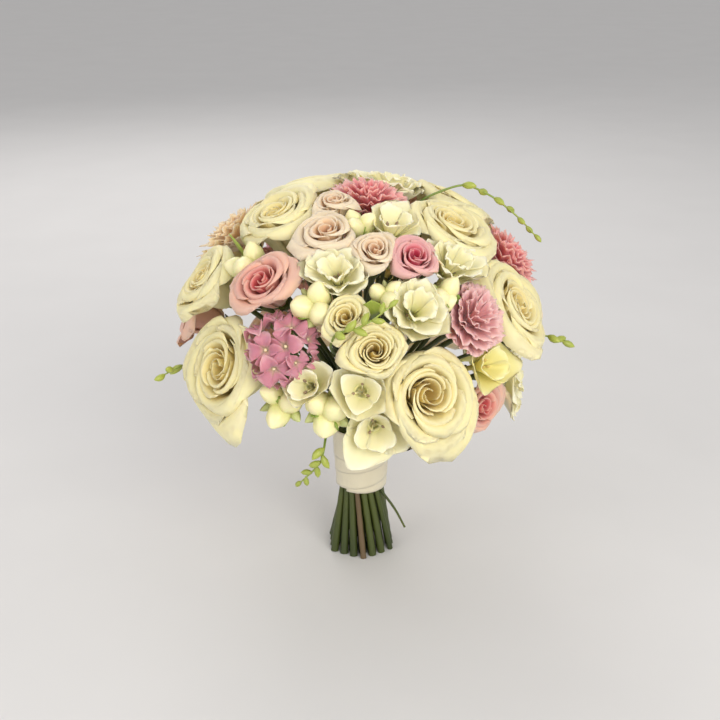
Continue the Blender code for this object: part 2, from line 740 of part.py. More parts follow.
def plug():
    """The tightly packed stems inside the ribbon."""
    inner = RIBBON_WALL + GAP
    profile = [(RIBBON_R0 - inner, RIBBON_Z0 + 0.001), (RIBBON_R1 - inner, RIBBON_Z1 - 0.001)]
    return lathe(profile, RIBBON_SIDES // 2)


def tie_spots(wanted):
    """Places in the tie in rings of six, shared out so that each stem starts on its bloom's side."""
    free = [0j]
    for ring in range(1, 4):
        for k in range(6 * ring):
            corner, along = divmod(k, ring)
            a, b = (complex(math.cos(t), math.sin(t)) for t in (corner * math.pi / 3, (corner + 1) * math.pi / 3))
            free.append(TIE_R * (a * (ring - along) + b * along) / 3)
    chosen = {}
    for k in sorted(range(len(wanted)), key=lambda k: -abs(wanted[k])):
        chosen[k] = min(free, key=lambda w: abs(w - wanted[k]))
        free.remove(chosen[k])
    return [chosen[k] for k in range(len(wanted))]


def share_stems(blooms):
    """Blooms that grow on the same cut stem: blush roses and freesias in pairs, buds and tips with a freesia."""
    groups = []
    for b in blooms:
        near = []
        if b.colour is BLUSH and b.kind == "small_rose" or b.kind == "freesia":
            near = [g for g in groups if len(g) < 3 and g[0].kind == b.kind and g[0].colour == b.colour]
            near = [g for g in near if np.linalg.norm(g[0].foot - b.foot) < 0.12]
        elif b.kind in ("buds", "sprig", "leaf"):
            near = [g for g in groups if g[0].kind == "freesia"]
        if near:
            min(near, key=lambda g: np.linalg.norm(g[0].foot - b.foot) + 0.02 * len(g)).append(b)
        else:
            groups.append([b])
    return groups


def build_stems(blooms):
    """All the stems, tied together in the handle."""
    groups = share_stems(blooms)
    wanted = [complex(g[0].foot[0], g[0].foot[1]) * 0.15 for g in groups]
    pieces = [plug()]
    for spot, group in zip(tie_spots(wanted), groups):
        thin = group[0].kind == "freesia"
        pieces.append(lower_stem(spot, THIN_STEM if thin else ROSE_STEM, abs(spot) * 900))
        for k, bloom in enumerate(group):
            fork = spot * 0.9 + 0.0013 * (k > 0) * complex(math.cos(2.2 * k), math.sin(2.2 * k))
            slim = bloom.kind in ("freesia", "buds", "sprig", "leaf", "hydrangea")
            pieces.append(upper_stem(fork, bloom.foot, bloom.axis, THIN_UPPER if slim else ROSE_UPPER,
                                     0.0028 if slim else 0.0046))
    pieces.append(tube(STRAY, (0.0013, 0.0013, 0.0011, 0.0008), 4))
    obj = fuse("stems", pieces)
    paint(obj, STEM, 0.55)
    return obj


def build_ribbon():
    """Satin wound round the handle in tilted laps that overlap upwards."""
    rows = []
    for lap in range(RIBBON_LAPS):
        low, high = lap / RIBBON_LAPS, (lap + 1) / RIBBON_LAPS
        rows += [(low, 0.0), (high - 0.01, RIBBON_LAP)]
    points, faces = [], []
    span = RIBBON_Z1 - RIBBON_Z0
    wall = [(t, lift, True) for t, lift in rows] + [(1.0, 0.0, False), (0.0, 0.0, False)]
    for t, lift, outer in wall:
        for k in range(RIBBON_SIDES):
            a = 2 * math.pi * k / RIBBON_SIDES
            r = RIBBON_R0 + (RIBBON_R1 - RIBBON_R0) * t + (lift if outer else -RIBBON_WALL)
            ease = math.sin(math.pi * t) if outer else 0.0
            z = RIBBON_Z0 + span * t + RIBBON_TILT * ease * math.cos(a - 0.6)
            points.append((r * math.cos(a), r * math.sin(a), z))
    rings = len(wall)
    for ring in range(rings):
        for k in range(RIBBON_SIDES):
            a, b = ring * RIBBON_SIDES + k, ring * RIBBON_SIDES + (k + 1) % RIBBON_SIDES
            c, d = (b + RIBBON_SIDES) % (rings * RIBBON_SIDES), (a + RIBBON_SIDES) % (rings * RIBBON_SIDES)
            faces += [(a, b, c), (a, c, d)]
    obj = add_object("ribbon", make_mesh("ribbon", points, faces))
    paint(obj, SATIN, 0.3)
    return obj


def centre(objects):
    """Everything moved together so that the box it fills stands centred on the origin."""
    bpy.context.view_layer.update()
    corners = [obj.matrix_world @ v.co for obj in objects for v in obj.data.vertices]
    low = [min(c[k] for c in corners) for k in range(3)]
    high = [max(c[k] for c in corners) for k in range(3)]
    shift = Vector((-(low[0] + high[0]) / 2, -(low[1] + high[1]) / 2, -low[2]))
    for obj in objects:
        obj.location = obj.location + shift
    print("shift", [round(x, 5) for x in shift], "size", [round(high[k] - low[k], 4) for k in range(3)])


def main():
    for obj in list(bpy.data.objects):
        bpy.data.objects.remove(obj)
    blooms = [Bloom(row) for row in BLOOMS]
    for bloom in blooms:
        bloom.find_room(blooms)
    objects = build_blooms(blooms)
    objects.append(build_stems(blooms))
    objects.append(build_ribbon())
    centre(objects)
    print("triangles", sum(len(obj.data.polygons) for obj in objects))


main()
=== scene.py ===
"""The looks of a bridal bouquet of roses, freesias, carnations and hydrangea, tied on its cut stems.

Metres, +Z up, and the side that the photo shows faces -Y.
"""
import cmath
import logging
import math
from dataclasses import dataclass, field
from enum import Enum

import bpy
import numpy as np
from mathutils import Matrix, Vector


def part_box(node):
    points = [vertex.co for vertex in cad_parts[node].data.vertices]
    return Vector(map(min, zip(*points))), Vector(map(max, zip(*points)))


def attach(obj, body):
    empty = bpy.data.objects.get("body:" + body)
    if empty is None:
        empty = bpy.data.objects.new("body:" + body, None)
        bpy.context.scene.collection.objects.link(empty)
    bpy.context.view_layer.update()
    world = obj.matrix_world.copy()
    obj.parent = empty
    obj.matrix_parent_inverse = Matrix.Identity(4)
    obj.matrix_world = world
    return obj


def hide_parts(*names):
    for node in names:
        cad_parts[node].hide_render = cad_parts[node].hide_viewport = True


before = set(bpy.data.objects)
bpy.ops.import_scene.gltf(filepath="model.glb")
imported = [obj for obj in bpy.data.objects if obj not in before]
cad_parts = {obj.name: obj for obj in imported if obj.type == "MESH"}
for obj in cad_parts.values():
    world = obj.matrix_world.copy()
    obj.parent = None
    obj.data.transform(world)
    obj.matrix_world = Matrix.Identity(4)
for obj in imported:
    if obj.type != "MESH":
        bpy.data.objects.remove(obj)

log = logging.getLogger("bouquet")
Colour = tuple[float, float, float]
Array = np.ndarray
Outline = tuple[tuple[float, float], ...]
Spots = list[tuple[Array, Array, float]]

HEAD_Z = 0.195                        # height of the centre of the dome that the bloom faces lie on
DOME_WIDE, DOME_HIGH = 0.130, 0.101   # its half width and half height
PIVOT = np.array((0.0, 0.0, 0.135))   # the point that every bloom faces away from
CLEAR = 0.0002                        # least height of a bloom's points above its own foot
PRESS = 0.0014                        # how far a bloom may pass the plane that parts it from another
MOST_FILL = 1.9                       # a bloom opens at most this many times its width to meet the others
SPARE, SMALL_SPARE = 0.015, 0.020     # and at most this far past its edge: a large rose, any other bloom
LARGE = 0.03                          # radius above which a rose is a large one
FREE_RIM, FREE_SHARE = 0.005, 1.1     # on an open side: past the edge of a large rose, share of another bloom
TIGHTEST = 0.3                        # a bloom is drawn in at most to this share of its width
KEPT = 0.62                           # down to this share only its outer petals are drawn in
OPEN = (1.75, 2.4)                    # shares of room to width where a side begins to be open, and is
LOOSE = (1.25, 2.1)                   # the same where an unheld petal begins to sink, and hangs
LOOK_STEP = 0.175                     # angle between the ways in which a bloom's room is measured
LOOK_WEIGHTS = (0.12, 0.23, 0.30, 0.23, 0.12)   # what the ways next to a point count for
CORNER = 7                            # how sharp the corners of a bloom's room are
LEAST = 0.0005                        # least distance to a neighbour's plane, in metres
GOLDEN = math.radians(137.5)          # angle from one petal to the next
PART_TURN = 1.7                       # turn about its own axis from one copy of a small part to the next
SEED = 20                             # shifts every bloom's own random numbers
RIBBON_LOW, RIBBON_HIGH = 0.054, 0.105   # heights of the ribbon's two ends
TIE_Z = 0.078                         # the stems are tightest here


class Kind(Enum):
    """What a bloom is."""

    ROSE = "rose"
    BACK_ROSE = "back_rose"
    SMALL_ROSE = "small_rose"
    FREESIA = "freesia"
    DOUBLE_FREESIA = "double_freesia"
    CARNATION = "carnation"
    HYDRANGEA = "hydrangea"
    BUDS = "buds"
    SPRIG = "sprig"
    LEAF = "leaf"


class Tone(Enum):
    """The finish of a bloom."""

    CREAM = "cream"
    IVORY = "ivory"
    WHITE = "white"
    PINK = "pink"
    DEEP_PINK = "deep_pink"
    BLUSH = "blush"
    MAUVE = "mauve"
    LILAC = "lilac"
    BUD = "bud"
    GREEN = "green"


# Name, kind, degrees round from the front, degrees down from the top, width and depth in mm, finish
BLOOMS = (
    ("cream_rose_left", "rose", -51, 95, 84, 48, "cream"),
    ("cream_rose_top_left", "rose", -65, 31, 62, 42, "cream"),
    ("cream_rose_front", "rose", 21, 97, 74, 47, "cream"),
    ("cream_rose_middle", "rose", 4, 78, 50, 38, "cream"),
    ("cream_rose_small", "small_rose", -5, 66, 36, 30, "cream"),
    ("cream_rose_top_right", "rose", 60, 35, 64, 42, "cream"),
    ("cream_rose_right", "rose", 64, 74, 72, 46, "cream"),
    ("cream_rose_left_behind", "rose", -74, 66, 56, 40, "cream"),
    ("cream_rose_back_left", "back_rose", -120, 82, 80, 48, "cream"),
    ("cream_rose_back", "back_rose", 168, 77, 84, 48, "cream"),
    ("cream_rose_back_right", "back_rose", 126, 87, 84, 47, "cream"),
    ("cream_rose_back_top", "back_rose", -142, 35, 76, 44, "cream"),
    ("cream_rose_back_crown", "back_rose", 119, 36, 70, 44, "cream"),
    ("pink_rose_left", "small_rose", -38, 57, 46, 34, "pink"),
    ("pink_rose_top", "small_rose", 23, 45, 36, 30, "deep_pink"),
    ("pink_rose_right", "small_rose", 46, 113, 40, 30, "pink"),
    ("pink_rose_back_left", "small_rose", -93, 90, 46, 34, "pink"),
    ("pink_rose_back", "small_rose", 152, 47, 46, 34, "pink"),
    ("pink_rose_back_low", "small_rose", -140, 118, 46, 34, "pink"),
    ("blush_rose_top", "small_rose", -19, 33, 40, 30, "blush"),
    ("blush_rose_middle", "small_rose", 6, 41, 31, 26, "blush"),
    ("blush_rose_left", "small_rose", -28, 18, 30, 26, "blush"),
    ("blush_rose_back", "small_rose", 150, 116, 44, 32, "blush"),
    ("blush_rose_back_left", "small_rose", -171, 114, 42, 32, "blush"),
    ("blush_rose_right", "small_rose", 95, 85, 42, 32, "blush"),
    ("carnation_pink", "carnation", 41, 70, 54, 34, "lilac"),
    ("carnation_top", "carnation", 18, 8, 42, 30, "deep_pink"),
    ("carnation_back_left", "carnation", -104, 52, 56, 34, "blush"),
    ("carnation_back_right", "carnation", 90, 60, 52, 32, "deep_pink"),
    ("hydrangea_front", "hydrangea", -27, 79, 54, 34, "mauve"),
    ("hydrangea_back", "hydrangea", -157, 78, 64, 36, "mauve"),
    ("freesia_front_left", "freesia", -17, 93, 34, 32, "white"),
    ("freesia_front", "freesia", 0, 94, 44, 34, "white"),
    ("freesia_ruffled", "double_freesia", 19, 63, 44, 34, "white"),
    ("freesia_top_right", "double_freesia", 41, 49, 38, 32, "white"),
    ("freesia_right", "freesia", 44, 91, 34, 30, "ivory"),
    ("freesia_top_left", "double_freesia", -10, 49, 38, 32, "white"),
    ("freesia_low", "freesia", 5, 114, 40, 32, "white"),
    ("freesia_top", "freesia", 22, 27, 34, 30, "white"),
    ("freesia_crown", "double_freesia", 128, 13, 46, 32, "white"),
    ("freesia_left_low", "freesia", -98, 116, 52, 34, "ivory"),
    ("freesia_right_low", "double_freesia", 80, 113, 50, 34, "white"),
    ("freesia_back_top", "freesia", 178, 47, 42, 32, "ivory"),
    ("freesia_back_low", "double_freesia", 113, 118, 50, 34, "white"),
    ("buds_left", "buds", -55, 52, 34, 30, "bud"),
    ("buds_middle", "buds", -16, 61, 36, 32, "bud"),
    ("buds_top", "buds", -1, 26, 30, 28, "bud"),
    ("buds_low", "buds", -11, 105, 40, 32, "bud"),
    ("buds_centre", "buds", 10, 57, 26, 28, "bud"),
    ("buds_right", "buds", 32, 61, 32, 28, "bud"),
    ("buds_low_left", "buds", -27, 104, 36, 30, "bud"),
    ("sprig_middle", "sprig", -10, 76, 12, 30, "green"),
    ("sprig_low", "sprig", -13, 119, 10, 22, "green"),
    ("sprig_top_right", "sprig", 97, 20, 10, 30, "green"),
    ("sprig_left", "sprig", -77, 106, 10, 26, "green"),
    ("sprig_right", "sprig", 76, 92, 12, 26, "green"),
    ("leaf_middle", "leaf", 3, 62, 20, 34, "green"),
    ("leaf_left", "leaf", -68, 48, 16, 38, "green"),
)

# Where each green tip goes once it clears the blooms: degrees round, degrees down, mm above the dome
SPRIG_WAYS = {
    "sprig_middle": ((-7, 72, 8), (-2, 71, 10), (3, 68, 10), (8, 64, 10)),
    "sprig_low": ((-12, 120, 7), (-13, 124, 13), (-17, 129, 18), (-22, 134, 23)),
    "sprig_top_right": ((99, 32, 10), (98, 43, 12), (95, 53, 13), (92, 60, 14)),
    "sprig_left": ((-75, 105, 8), (-71, 104, 22)),
    "sprig_right": ((76, 93, 8), (77, 95, 18)),
}

# Blooms given a further turn about their own axis, in degrees
EXTRA_TURN = {"cream_rose_left": 20, "pink_rose_back": 20, "cream_rose_back_crown": 20}


def unit(v: Array) -> Array:
    """Vector v at length one."""
    return np.asarray(v, float) / np.linalg.norm(v)


def smooth(x: Array, low: float, high: float) -> Array:
    """Eased step from 0 at low to 1 at high.

    Args:
        x: Values to ease.
        low: Where the step starts.
        high: Where it ends.

    Returns:
        The eased values.
    """
    t = np.clip((np.asarray(x, float) - low) / (high - low), 0.0, 1.0)
    return t * t * (3.0 - 2.0 * t)


def face_point(azimuth: float, polar: float, lift: float = 0.0) -> Array:
    """A point on the dome that the bloom faces lie on.

    Args:
        azimuth: Degrees round from the front.
        polar: Degrees down from the top.
        lift: Metres above the dome.

    Returns:
        The point.
    """
    a, p = math.radians(azimuth), math.radians(polar)
    wide, high = DOME_WIDE + lift, DOME_HIGH + lift
    return np.array((wide * math.sin(p) * math.sin(a), -wide * math.sin(p) * math.cos(a),
                     HEAD_Z + high * math.cos(p)))


def around(angle: Array, radius: Array, height: Array) -> Array:
    """Points at an angle, radius and height about a bloom's own axis."""
    angle, radius, height = np.broadcast_arrays(angle, radius, height)
    return np.stack((radius * np.cos(angle), radius * np.sin(angle), height), axis=-1)


# ---------------------------------------------------------------- node graphs


class Wire:
    """One output socket of a node graph, with arithmetic that adds Math nodes."""

    def __init__(self, graph: "Graph", socket: bpy.types.NodeSocket) -> None:
        """Keeps the socket and the graph it is in."""
        self.graph = graph
        self.socket = socket

    def __add__(self, other: "Wire | float") -> "Wire":
        """Sum."""
        return self.graph.math("ADD", self, other)

    __radd__ = __add__

    def __sub__(self, other: "Wire | float") -> "Wire":
        """Difference."""
        return self.graph.math("SUBTRACT", self, other)

    def __rsub__(self, other: float) -> "Wire":
        """Difference from a number."""
        return self.graph.math("SUBTRACT", other, self)

    def __mul__(self, other: "Wire | float") -> "Wire":
        """Product."""
        return self.graph.math("MULTIPLY", self, other)

    def limited(self) -> "Wire":
        """The value held between 0 and 1."""
        return self.graph.node("ShaderNodeClamp", inputs={"Value": self})


class Graph:
    """Adds nodes to a shader or geometry tree."""

    def __init__(self, tree: bpy.types.NodeTree) -> None:
        """Keeps the tree."""
        self.tree = tree

    def plug(self, node: bpy.types.Node, key: str, value: object) -> None:
        """Links or sets one input of a node, found by its identifier or else its name.

        Args:
            node: The node.
            key: Identifier or name of the input.
            value: A Wire to link, or a plain value.
        """
        socket = next((s for s in node.inputs if s.identifier == key), None) or node.inputs[key]
        if isinstance(value, Wire):
            self.tree.links.new(value.socket, socket)
        else:
            socket.default_value = value

    def node(self, kind: str, settings: dict[str, object] | None = None,
             inputs: dict[str, object] | None = None, out: str | int = 0) -> Wire:
        """Adds a node.

        Args:
            kind: Type of the node.
            settings: Properties set before the sockets.
            inputs: Values or wires by socket.
            out: Which output to give back, by number or name.

        Returns:
            The output.
        """
        made = self.tree.nodes.new(kind)
        for key, value in (settings or {}).items():
            setattr(made, key, value)
        for key, value in (inputs or {}).items():
            self.plug(made, key, value)
        if isinstance(out, str):
            found = next((s for s in made.outputs if s.identifier == out), None) or made.outputs[out]
            return Wire(self, found)
        return Wire(self, made.outputs[out] if made.outputs else None)

    def math(self, operation: str, a: "Wire | float", b: "Wire | float") -> Wire:
        """A Math node."""
        return self.node("ShaderNodeMath", {"operation": operation}, {"Value": a, "Value_001": b})

    def mixed(self, a: "Wire | Colour", b: "Wire | Colour", share: "Wire | float") -> Wire:
        """Two colours mixed.

        Args:
            a: Colour at share 0.
            b: Colour at share 1.
            share: How much of b.

        Returns:
            The mixed colour.
        """
        a, b = ((*c, 1.0) if isinstance(c, tuple) else c for c in (a, b))
        return self.node("ShaderNodeMix", {"data_type": "RGBA"},
                         {"Factor_Float": share, "A_Color": a, "B_Color": b}, "Result_Color")

    def attribute(self, name: str) -> tuple[Wire, Wire, Wire, Wire]:
        """A vector attribute of the mesh, whole and as its three parts.

        Args:
            name: Its name.

        Returns:
            The vector, then its first, second and third part.
        """
        vector = self.node("ShaderNodeAttribute", {"attribute_name": name}, out="Vector")
        parts = self.node("ShaderNodeSeparateXYZ", inputs={"Vector": vector}).socket.node
        return (vector, *(Wire(self, parts.outputs[k]) for k in range(3)))

    def scaled(self, vector: Wire, by: Colour) -> Wire:
        """A vector multiplied part by part."""
        inputs = {"Vector": vector, "Vector_001": by}
        return self.node("ShaderNodeVectorMath", {"operation": "MULTIPLY"}, inputs)

    def noise(self, vector: Wire, scale: float, detail: float = 2.0) -> Wire:
        """Noise from 0 to 1 at a vector."""
        return self.node("ShaderNodeTexNoise", inputs={"Vector": vector, "Scale": scale, "Detail": detail})


class Paint(Graph):
    """The graph of a new material, with the places and attributes that the finishes read."""

    def __init__(self, name: str) -> None:
        """Starts the material under its name.

        Args:
            name: Name of the material.
        """
        self.material = bpy.data.materials.new(name)
        self.material.use_nodes = True
        super().__init__(self.material.node_tree)
        self.place = self.node("ShaderNodeTexCoord", out="Object")

    def done(self, values: dict[str, object], height: Wire | None = None,
             bump: tuple[float, float] = (0.0, 0.0)) -> bpy.types.Material:
        """Plugs the results into the Principled node.

        Args:
            values: Values or wires by input.
            height: Height for the bump, if any.
            bump: Strength and distance of the bump.

        Returns:
            The material.
        """
        bsdf = self.tree.nodes["Principled BSDF"]
        if height is not None:
            strength, distance = bump
            raised = {"Strength": strength, "Distance": distance, "Height": height}
            values = {**values, "Normal": self.node("ShaderNodeBump", inputs=raised)}
        for key, value in values.items():
            self.plug(bsdf, key, value)
        return self.material


@dataclass(frozen=True)
class PetalFinish:
    """Petal skin: colour runs from the heart to the face and rim of each petal, with fine veins."""

    name: str
    face: Colour
    heart: Colour
    rim: Colour
    claw: Colour
    streak: Colour
    anther: Colour = (0.62, 0.50, 0.20)
    stalk: Colour = (0.20, 0.32, 0.08)
    rim_share: float = 0.7
    vein_share: float = 0.12
    heart_reach: float = 1.25
    roughness: float = 0.58

    def material(self) -> bpy.types.Material:
        """Builds the material.

        Returns:
            The material.
        """
        g = Paint(self.name)
        grain, _, t, tint = g.attribute("grain")
        _, depth, organ, _ = g.attribute("part")
        veins = g.noise(g.scaled(grain, (15.0, 1.3, 31.0)), 1.0, 3.0)
        blotch = g.noise(g.place, 55.0, 2.0)
        heart = (depth * (self.heart_reach - t * 0.75) + (blotch - 0.5) * 0.30).limited()
        colour = g.mixed(self.face, self.heart, heart)
        colour = g.mixed(colour, self.rim, ((t - 0.72) * 3.2).limited() * self.rim_share)
        colour = g.mixed(colour, self.claw, ((0.30 - t) * 3.6).limited() * 0.8)
        streaks = ((veins - 0.42) * 2.6).limited() * self.vein_share
        colour = g.mixed(colour, self.streak, (streaks + (tint - 0.5) * 0.20).limited())
        colour = g.mixed(colour, self.anther, organ.limited())
        colour = g.mixed(colour, self.stalk, (organ - 1.0).limited())
        return g.done({"Base Color": colour, "Roughness": self.roughness + (blotch - 0.5) * 0.16,
                       "Subsurface Weight": 0.35, "Subsurface Radius": (1.0, 0.75, 0.45),
                       "Subsurface Scale": 0.0025, "Sheen Weight": 0.15, "Specular IOR Level": 0.35},
                      veins, (0.14, 0.0004))


@dataclass(frozen=True)
class GreenFinish:
    """Skin of buds, leaves and stems, from a pale tip to a green foot."""

    name: str
    tip: Colour
    foot: Colour
    streak: Colour
    wood: Colour = (0.13, 0.085, 0.04)
    roughness: float = 0.42
    lines: float = 22.0

    def material(self) -> bpy.types.Material:
        """Builds the material.

        Returns:
            The material.
        """
        g = Paint(self.name)
        grain, _, t, tint = g.attribute("grain")
        organ = g.attribute("part")[2]
        ribs = g.noise(g.scaled(grain, (self.lines, 1.0, 17.0)), 1.0, 2.0)
        blotch = g.noise(g.place, 90.0, 3.0)
        colour = g.mixed(self.foot, self.tip, (t * 1.25 - 0.12 + (blotch - 0.5) * 0.5).limited())
        colour = g.mixed(colour, self.streak, ((ribs - 0.45) * 2.2).limited() * 0.45)
        colour = g.mixed(colour, self.tip, ((tint - 0.5) * 0.8).limited())
        colour = g.mixed(colour, self.wood, organ.limited())
        return g.done({"Base Color": colour, "Roughness": self.roughness + (blotch - 0.5) * 0.2,
                       "Subsurface Weight": 0.15, "Subsurface Radius": (0.5, 1.0, 0.3),
                       "Subsurface Scale": 0.002}, ribs, (0.4, 0.0004))


@dataclass(frozen=True)
class SatinFinish:
    """Satin ribbon: fine threads across it, a low sheen and faint creases, with painted shade in the creases
    and along both edges of each lap.
    """

    name: str
    colour: Colour
    shade: Colour
    threads: float = 420.0

    def material(self) -> bpy.types.Material:
        """Builds the material.

        Returns:
            The material.
        """
        g = Paint(self.name)
        grain, _, t, _ = g.attribute("grain")
        weave = g.noise(g.scaled(grain, (self.threads, 3.0, 1.0)), 1.0, 2.0)
        creases = g.noise(g.scaled(g.place, (1.0, 1.0, 0.35)), 70.0, 3.0)
        # painted shade along both edges of the ribbon, where one lap lies on the next
        edge = (((t - 0.94) * 14.0).limited() + ((0.06 - t) * 14.0).limited()).limited()
        # painted shade: the creases are darkened towards the shade colour
        colour = g.mixed(self.colour, self.shade, ((creases - 0.45) * 1.6).limited() * 0.5)
        colour = g.mixed(colour, self.shade, edge * 0.55)
        return g.done({"Base Color": colour, "Roughness": 0.30 + weave * 0.14, "Sheen Weight": 0.35,
                       "Anisotropic": 0.5}, weave * 0.25 + creases * 0.75, (0.45, 0.0006))


FINISHES = {
    Tone.CREAM: PetalFinish("cream_petal", (0.90, 0.78, 0.38), (0.88, 0.66, 0.22), (0.93, 0.85, 0.52),
                            (0.66, 0.62, 0.20), (0.86, 0.70, 0.30)),
    Tone.IVORY: PetalFinish("ivory_petal", (0.89, 0.82, 0.38), (0.80, 0.70, 0.17), (0.93, 0.88, 0.52),
                            (0.66, 0.66, 0.20), (0.84, 0.73, 0.30)),
    Tone.WHITE: PetalFinish("white_petal", (0.91, 0.85, 0.58), (0.82, 0.77, 0.34), (0.95, 0.91, 0.72),
                            (0.62, 0.65, 0.20), (0.86, 0.78, 0.46), anther=(0.30, 0.22, 0.16)),
    Tone.PINK: PetalFinish("pink_petal", (0.78, 0.41, 0.31), (0.70, 0.12, 0.14), (0.86, 0.58, 0.45),
                           (0.80, 0.68, 0.36), (0.80, 0.38, 0.31), heart_reach=1.9),
    Tone.DEEP_PINK: PetalFinish("deep_pink_petal", (0.82, 0.40, 0.38), (0.68, 0.05, 0.13), (0.88, 0.56, 0.50),
                                (0.78, 0.58, 0.34), (0.74, 0.22, 0.25), heart_reach=1.9),
    Tone.BLUSH: PetalFinish("blush_petal", (0.86, 0.66, 0.43), (0.80, 0.42, 0.26), (0.91, 0.79, 0.60),
                            (0.76, 0.70, 0.36), (0.84, 0.60, 0.41)),
    Tone.MAUVE: PetalFinish("mauve_petal", (0.62, 0.27, 0.33), (0.40, 0.08, 0.15), (0.82, 0.52, 0.53),
                            (0.52, 0.46, 0.26), (0.48, 0.15, 0.23), anther=(0.80, 0.70, 0.44),
                            vein_share=0.35),
    Tone.LILAC: PetalFinish("lilac_petal", (0.78, 0.43, 0.43), (0.58, 0.18, 0.22), (0.87, 0.63, 0.60),
                            (0.62, 0.42, 0.32), (0.68, 0.30, 0.34), vein_share=0.3),
    Tone.BUD: GreenFinish("bud_skin", (0.90, 0.84, 0.50), (0.50, 0.54, 0.11), (0.82, 0.78, 0.33),
                          wood=(0.24, 0.34, 0.05), roughness=0.36),
    Tone.GREEN: GreenFinish("leaf_skin", (0.34, 0.42, 0.07), (0.09, 0.16, 0.02), (0.20, 0.28, 0.04),
                            wood=(0.46, 0.50, 0.09), roughness=0.34),
}
STEM_SKIN = GreenFinish("stem_skin", (0.085, 0.105, 0.016), (0.030, 0.046, 0.007), (0.060, 0.080, 0.016),
                        roughness=0.5)
# the second colour is the painted shade of the ribbon's creases and lap edges
SATIN = SatinFinish("ivory_satin", (0.75, 0.69, 0.52), (0.64, 0.56, 0.40))


# ---------------------------------------------------------------- meshes


def placed(name: str, data: bpy.types.ID) -> bpy.types.Object:
    """A new object in the scene, at the origin.

    Args:
        name: Its name.
        data: What it shows: a mesh, a light or a camera.

    Returns:
        The object.
    """
    made = bpy.data.objects.new(name, data)
    bpy.context.scene.collection.objects.link(made)
    return made


def mesh_object(name: str, points: Array, edges: list[tuple[int, int]], faces: list[tuple[int, ...]],
                **layers: Array) -> bpy.types.Object:
    """A new mesh object.

    Args:
        name: Its name.
        points: Places of its points.
        edges: Ends of its loose edges.
        faces: Corners of its faces.
        **layers: A number or vector for each point, by the name of the attribute.

    Returns:
        The object.
    """
    mesh = bpy.data.meshes.new(name)
    mesh.from_pydata(np.asarray(points).tolist(), edges, faces)
    for key, values in layers.items():
        values = np.asarray(values, float)
        kind, slot = ("FLOAT", "value") if values.ndim == 1 else ("FLOAT_VECTOR", "vector")
        mesh.attributes.new(key, kind, "POINT").data.foreach_set(slot, values.ravel())
    mesh.update()
    return placed(name, mesh)


@dataclass
class Skin:
    """Gathers closed sheets and bodies for one mesh, with what the finishes read at each point."""

    points: list[Array] = field(default_factory=list)
    faces: list[tuple[int, ...]] = field(default_factory=list)
    grain: list[Array] = field(default_factory=list)
    part: list[Array] = field(default_factory=list)
    count: int = 0

    def add(self, points: Array, faces: list[tuple[int, ...]], grain: Array, depth: float,
            organ: float) -> None:
        """Adds points and faces.

        Args:
            points: Places of the points.
            faces: Corners of each face, counted from this call's first point.
            grain: Across, along and tint at each point.
            depth: How near the heart it is, 1 at the heart.
            organ: 0 for a petal, 1 for a stamen, 2 for a green part.
        """
        self.points.append(points)
        self.faces += [tuple(k + self.count for k in f) for f in faces]
        self.grain.append(grain)
        self.part.append(np.tile((depth, organ, 0.0), (len(points), 1)))
        self.count += len(points)

    def sheet(self, grid: Array, across: Array, along: Array, tint: float, depth: float,
              thick: float, organ: float = 0.0) -> None:
        """Adds a petal or leaf with thickness from a grid of points.

        Args:
            grid: Rows along the petal of points across it.
            across: Place across at each point, from -1 to 1.
            along: Place along at each point, from 0 to 1.
            tint: A number that sets this petal apart.
            depth: How near the heart it is.
            thick: Thickness in metres.
            organ: 0 for a petal, 1 for a stamen, 2 for a green part.
        """
        rows, cols = grid.shape[:2]
        normal = np.cross(np.gradient(grid, axis=1), np.gradient(grid, axis=0))
        normal /= np.maximum(np.linalg.norm(normal, axis=2), 1e-12)[:, :, None]
        front = (grid + normal * thick / 2).reshape(-1, 3)
        back = (grid - normal * thick / 2).reshape(-1, 3)
        size = rows * cols
        faces = []
        for i in range(rows - 1):
            for j in range(cols - 1):
                a = i * cols + j
                faces.append((a, a + 1, a + cols + 1, a + cols))
                faces.append((a + size + cols, a + size + cols + 1, a + size + 1, a + size))
        rim = list(range(cols))
        rim += [i * cols + cols - 1 for i in range(1, rows)]
        rim += [(rows - 1) * cols + j for j in range(cols - 2, -1, -1)]
        rim += [i * cols for i in range(rows - 2, 0, -1)]
        for a, b in zip(rim, rim[1:] + rim[:1]):
            faces.append((b, a, a + size, b + size))
        grain = np.stack((across.ravel(), along.ravel(), np.full(size, tint)), axis=1)
        self.add(np.vstack((front, back)), faces, np.vstack((grain, grain)), depth, organ)

    def turned(self, rings: Array, tint: float, depth: float, organ: float = 0.0) -> None:
        """Adds a closed body from rings of points, capped at both ends.

        Args:
            rings: Rings of points, each round the same way.
            tint: A number that sets this body apart.
            depth: How near the heart it is.
            organ: 0 for a petal, 1 for a stamen, 2 for a green part.
        """
        count, sides = rings.shape[:2]
        faces = []
        for i in range(count - 1):
            for j in range(sides):
                a, b = i * sides + j, i * sides + (j + 1) % sides
                faces.append((a, b, b + sides, a + sides))
        faces.append(tuple(range(sides - 1, -1, -1)))
        faces.append(tuple(range((count - 1) * sides, count * sides)))
        along = np.repeat(np.linspace(0, 1, count), sides)
        across = np.tile(np.abs(np.linspace(-1, 1, sides)), count)
        grain = np.stack((across, along, np.full(count * sides, tint)), axis=1)
        self.add(rings.reshape(-1, 3), faces, grain, depth, organ)

    def object(self, name: str, place: "Bloom | None" = None) -> bpy.types.Object:
        """The gathered mesh as an object at the origin.

        Args:
            name: Name of the object.
            place: The bloom whose own frame the points are in, if any.

        Returns:
            The object.
        """
        points = np.vstack(self.points)
        if place is not None:
            points = place.world(place.clamp(points))
        made = mesh_object(name, points, [], self.faces, grain=np.vstack(self.grain), part=np.vstack(self.part))
        made.data.polygons.foreach_set("use_smooth", [True] * len(self.faces))
        return made


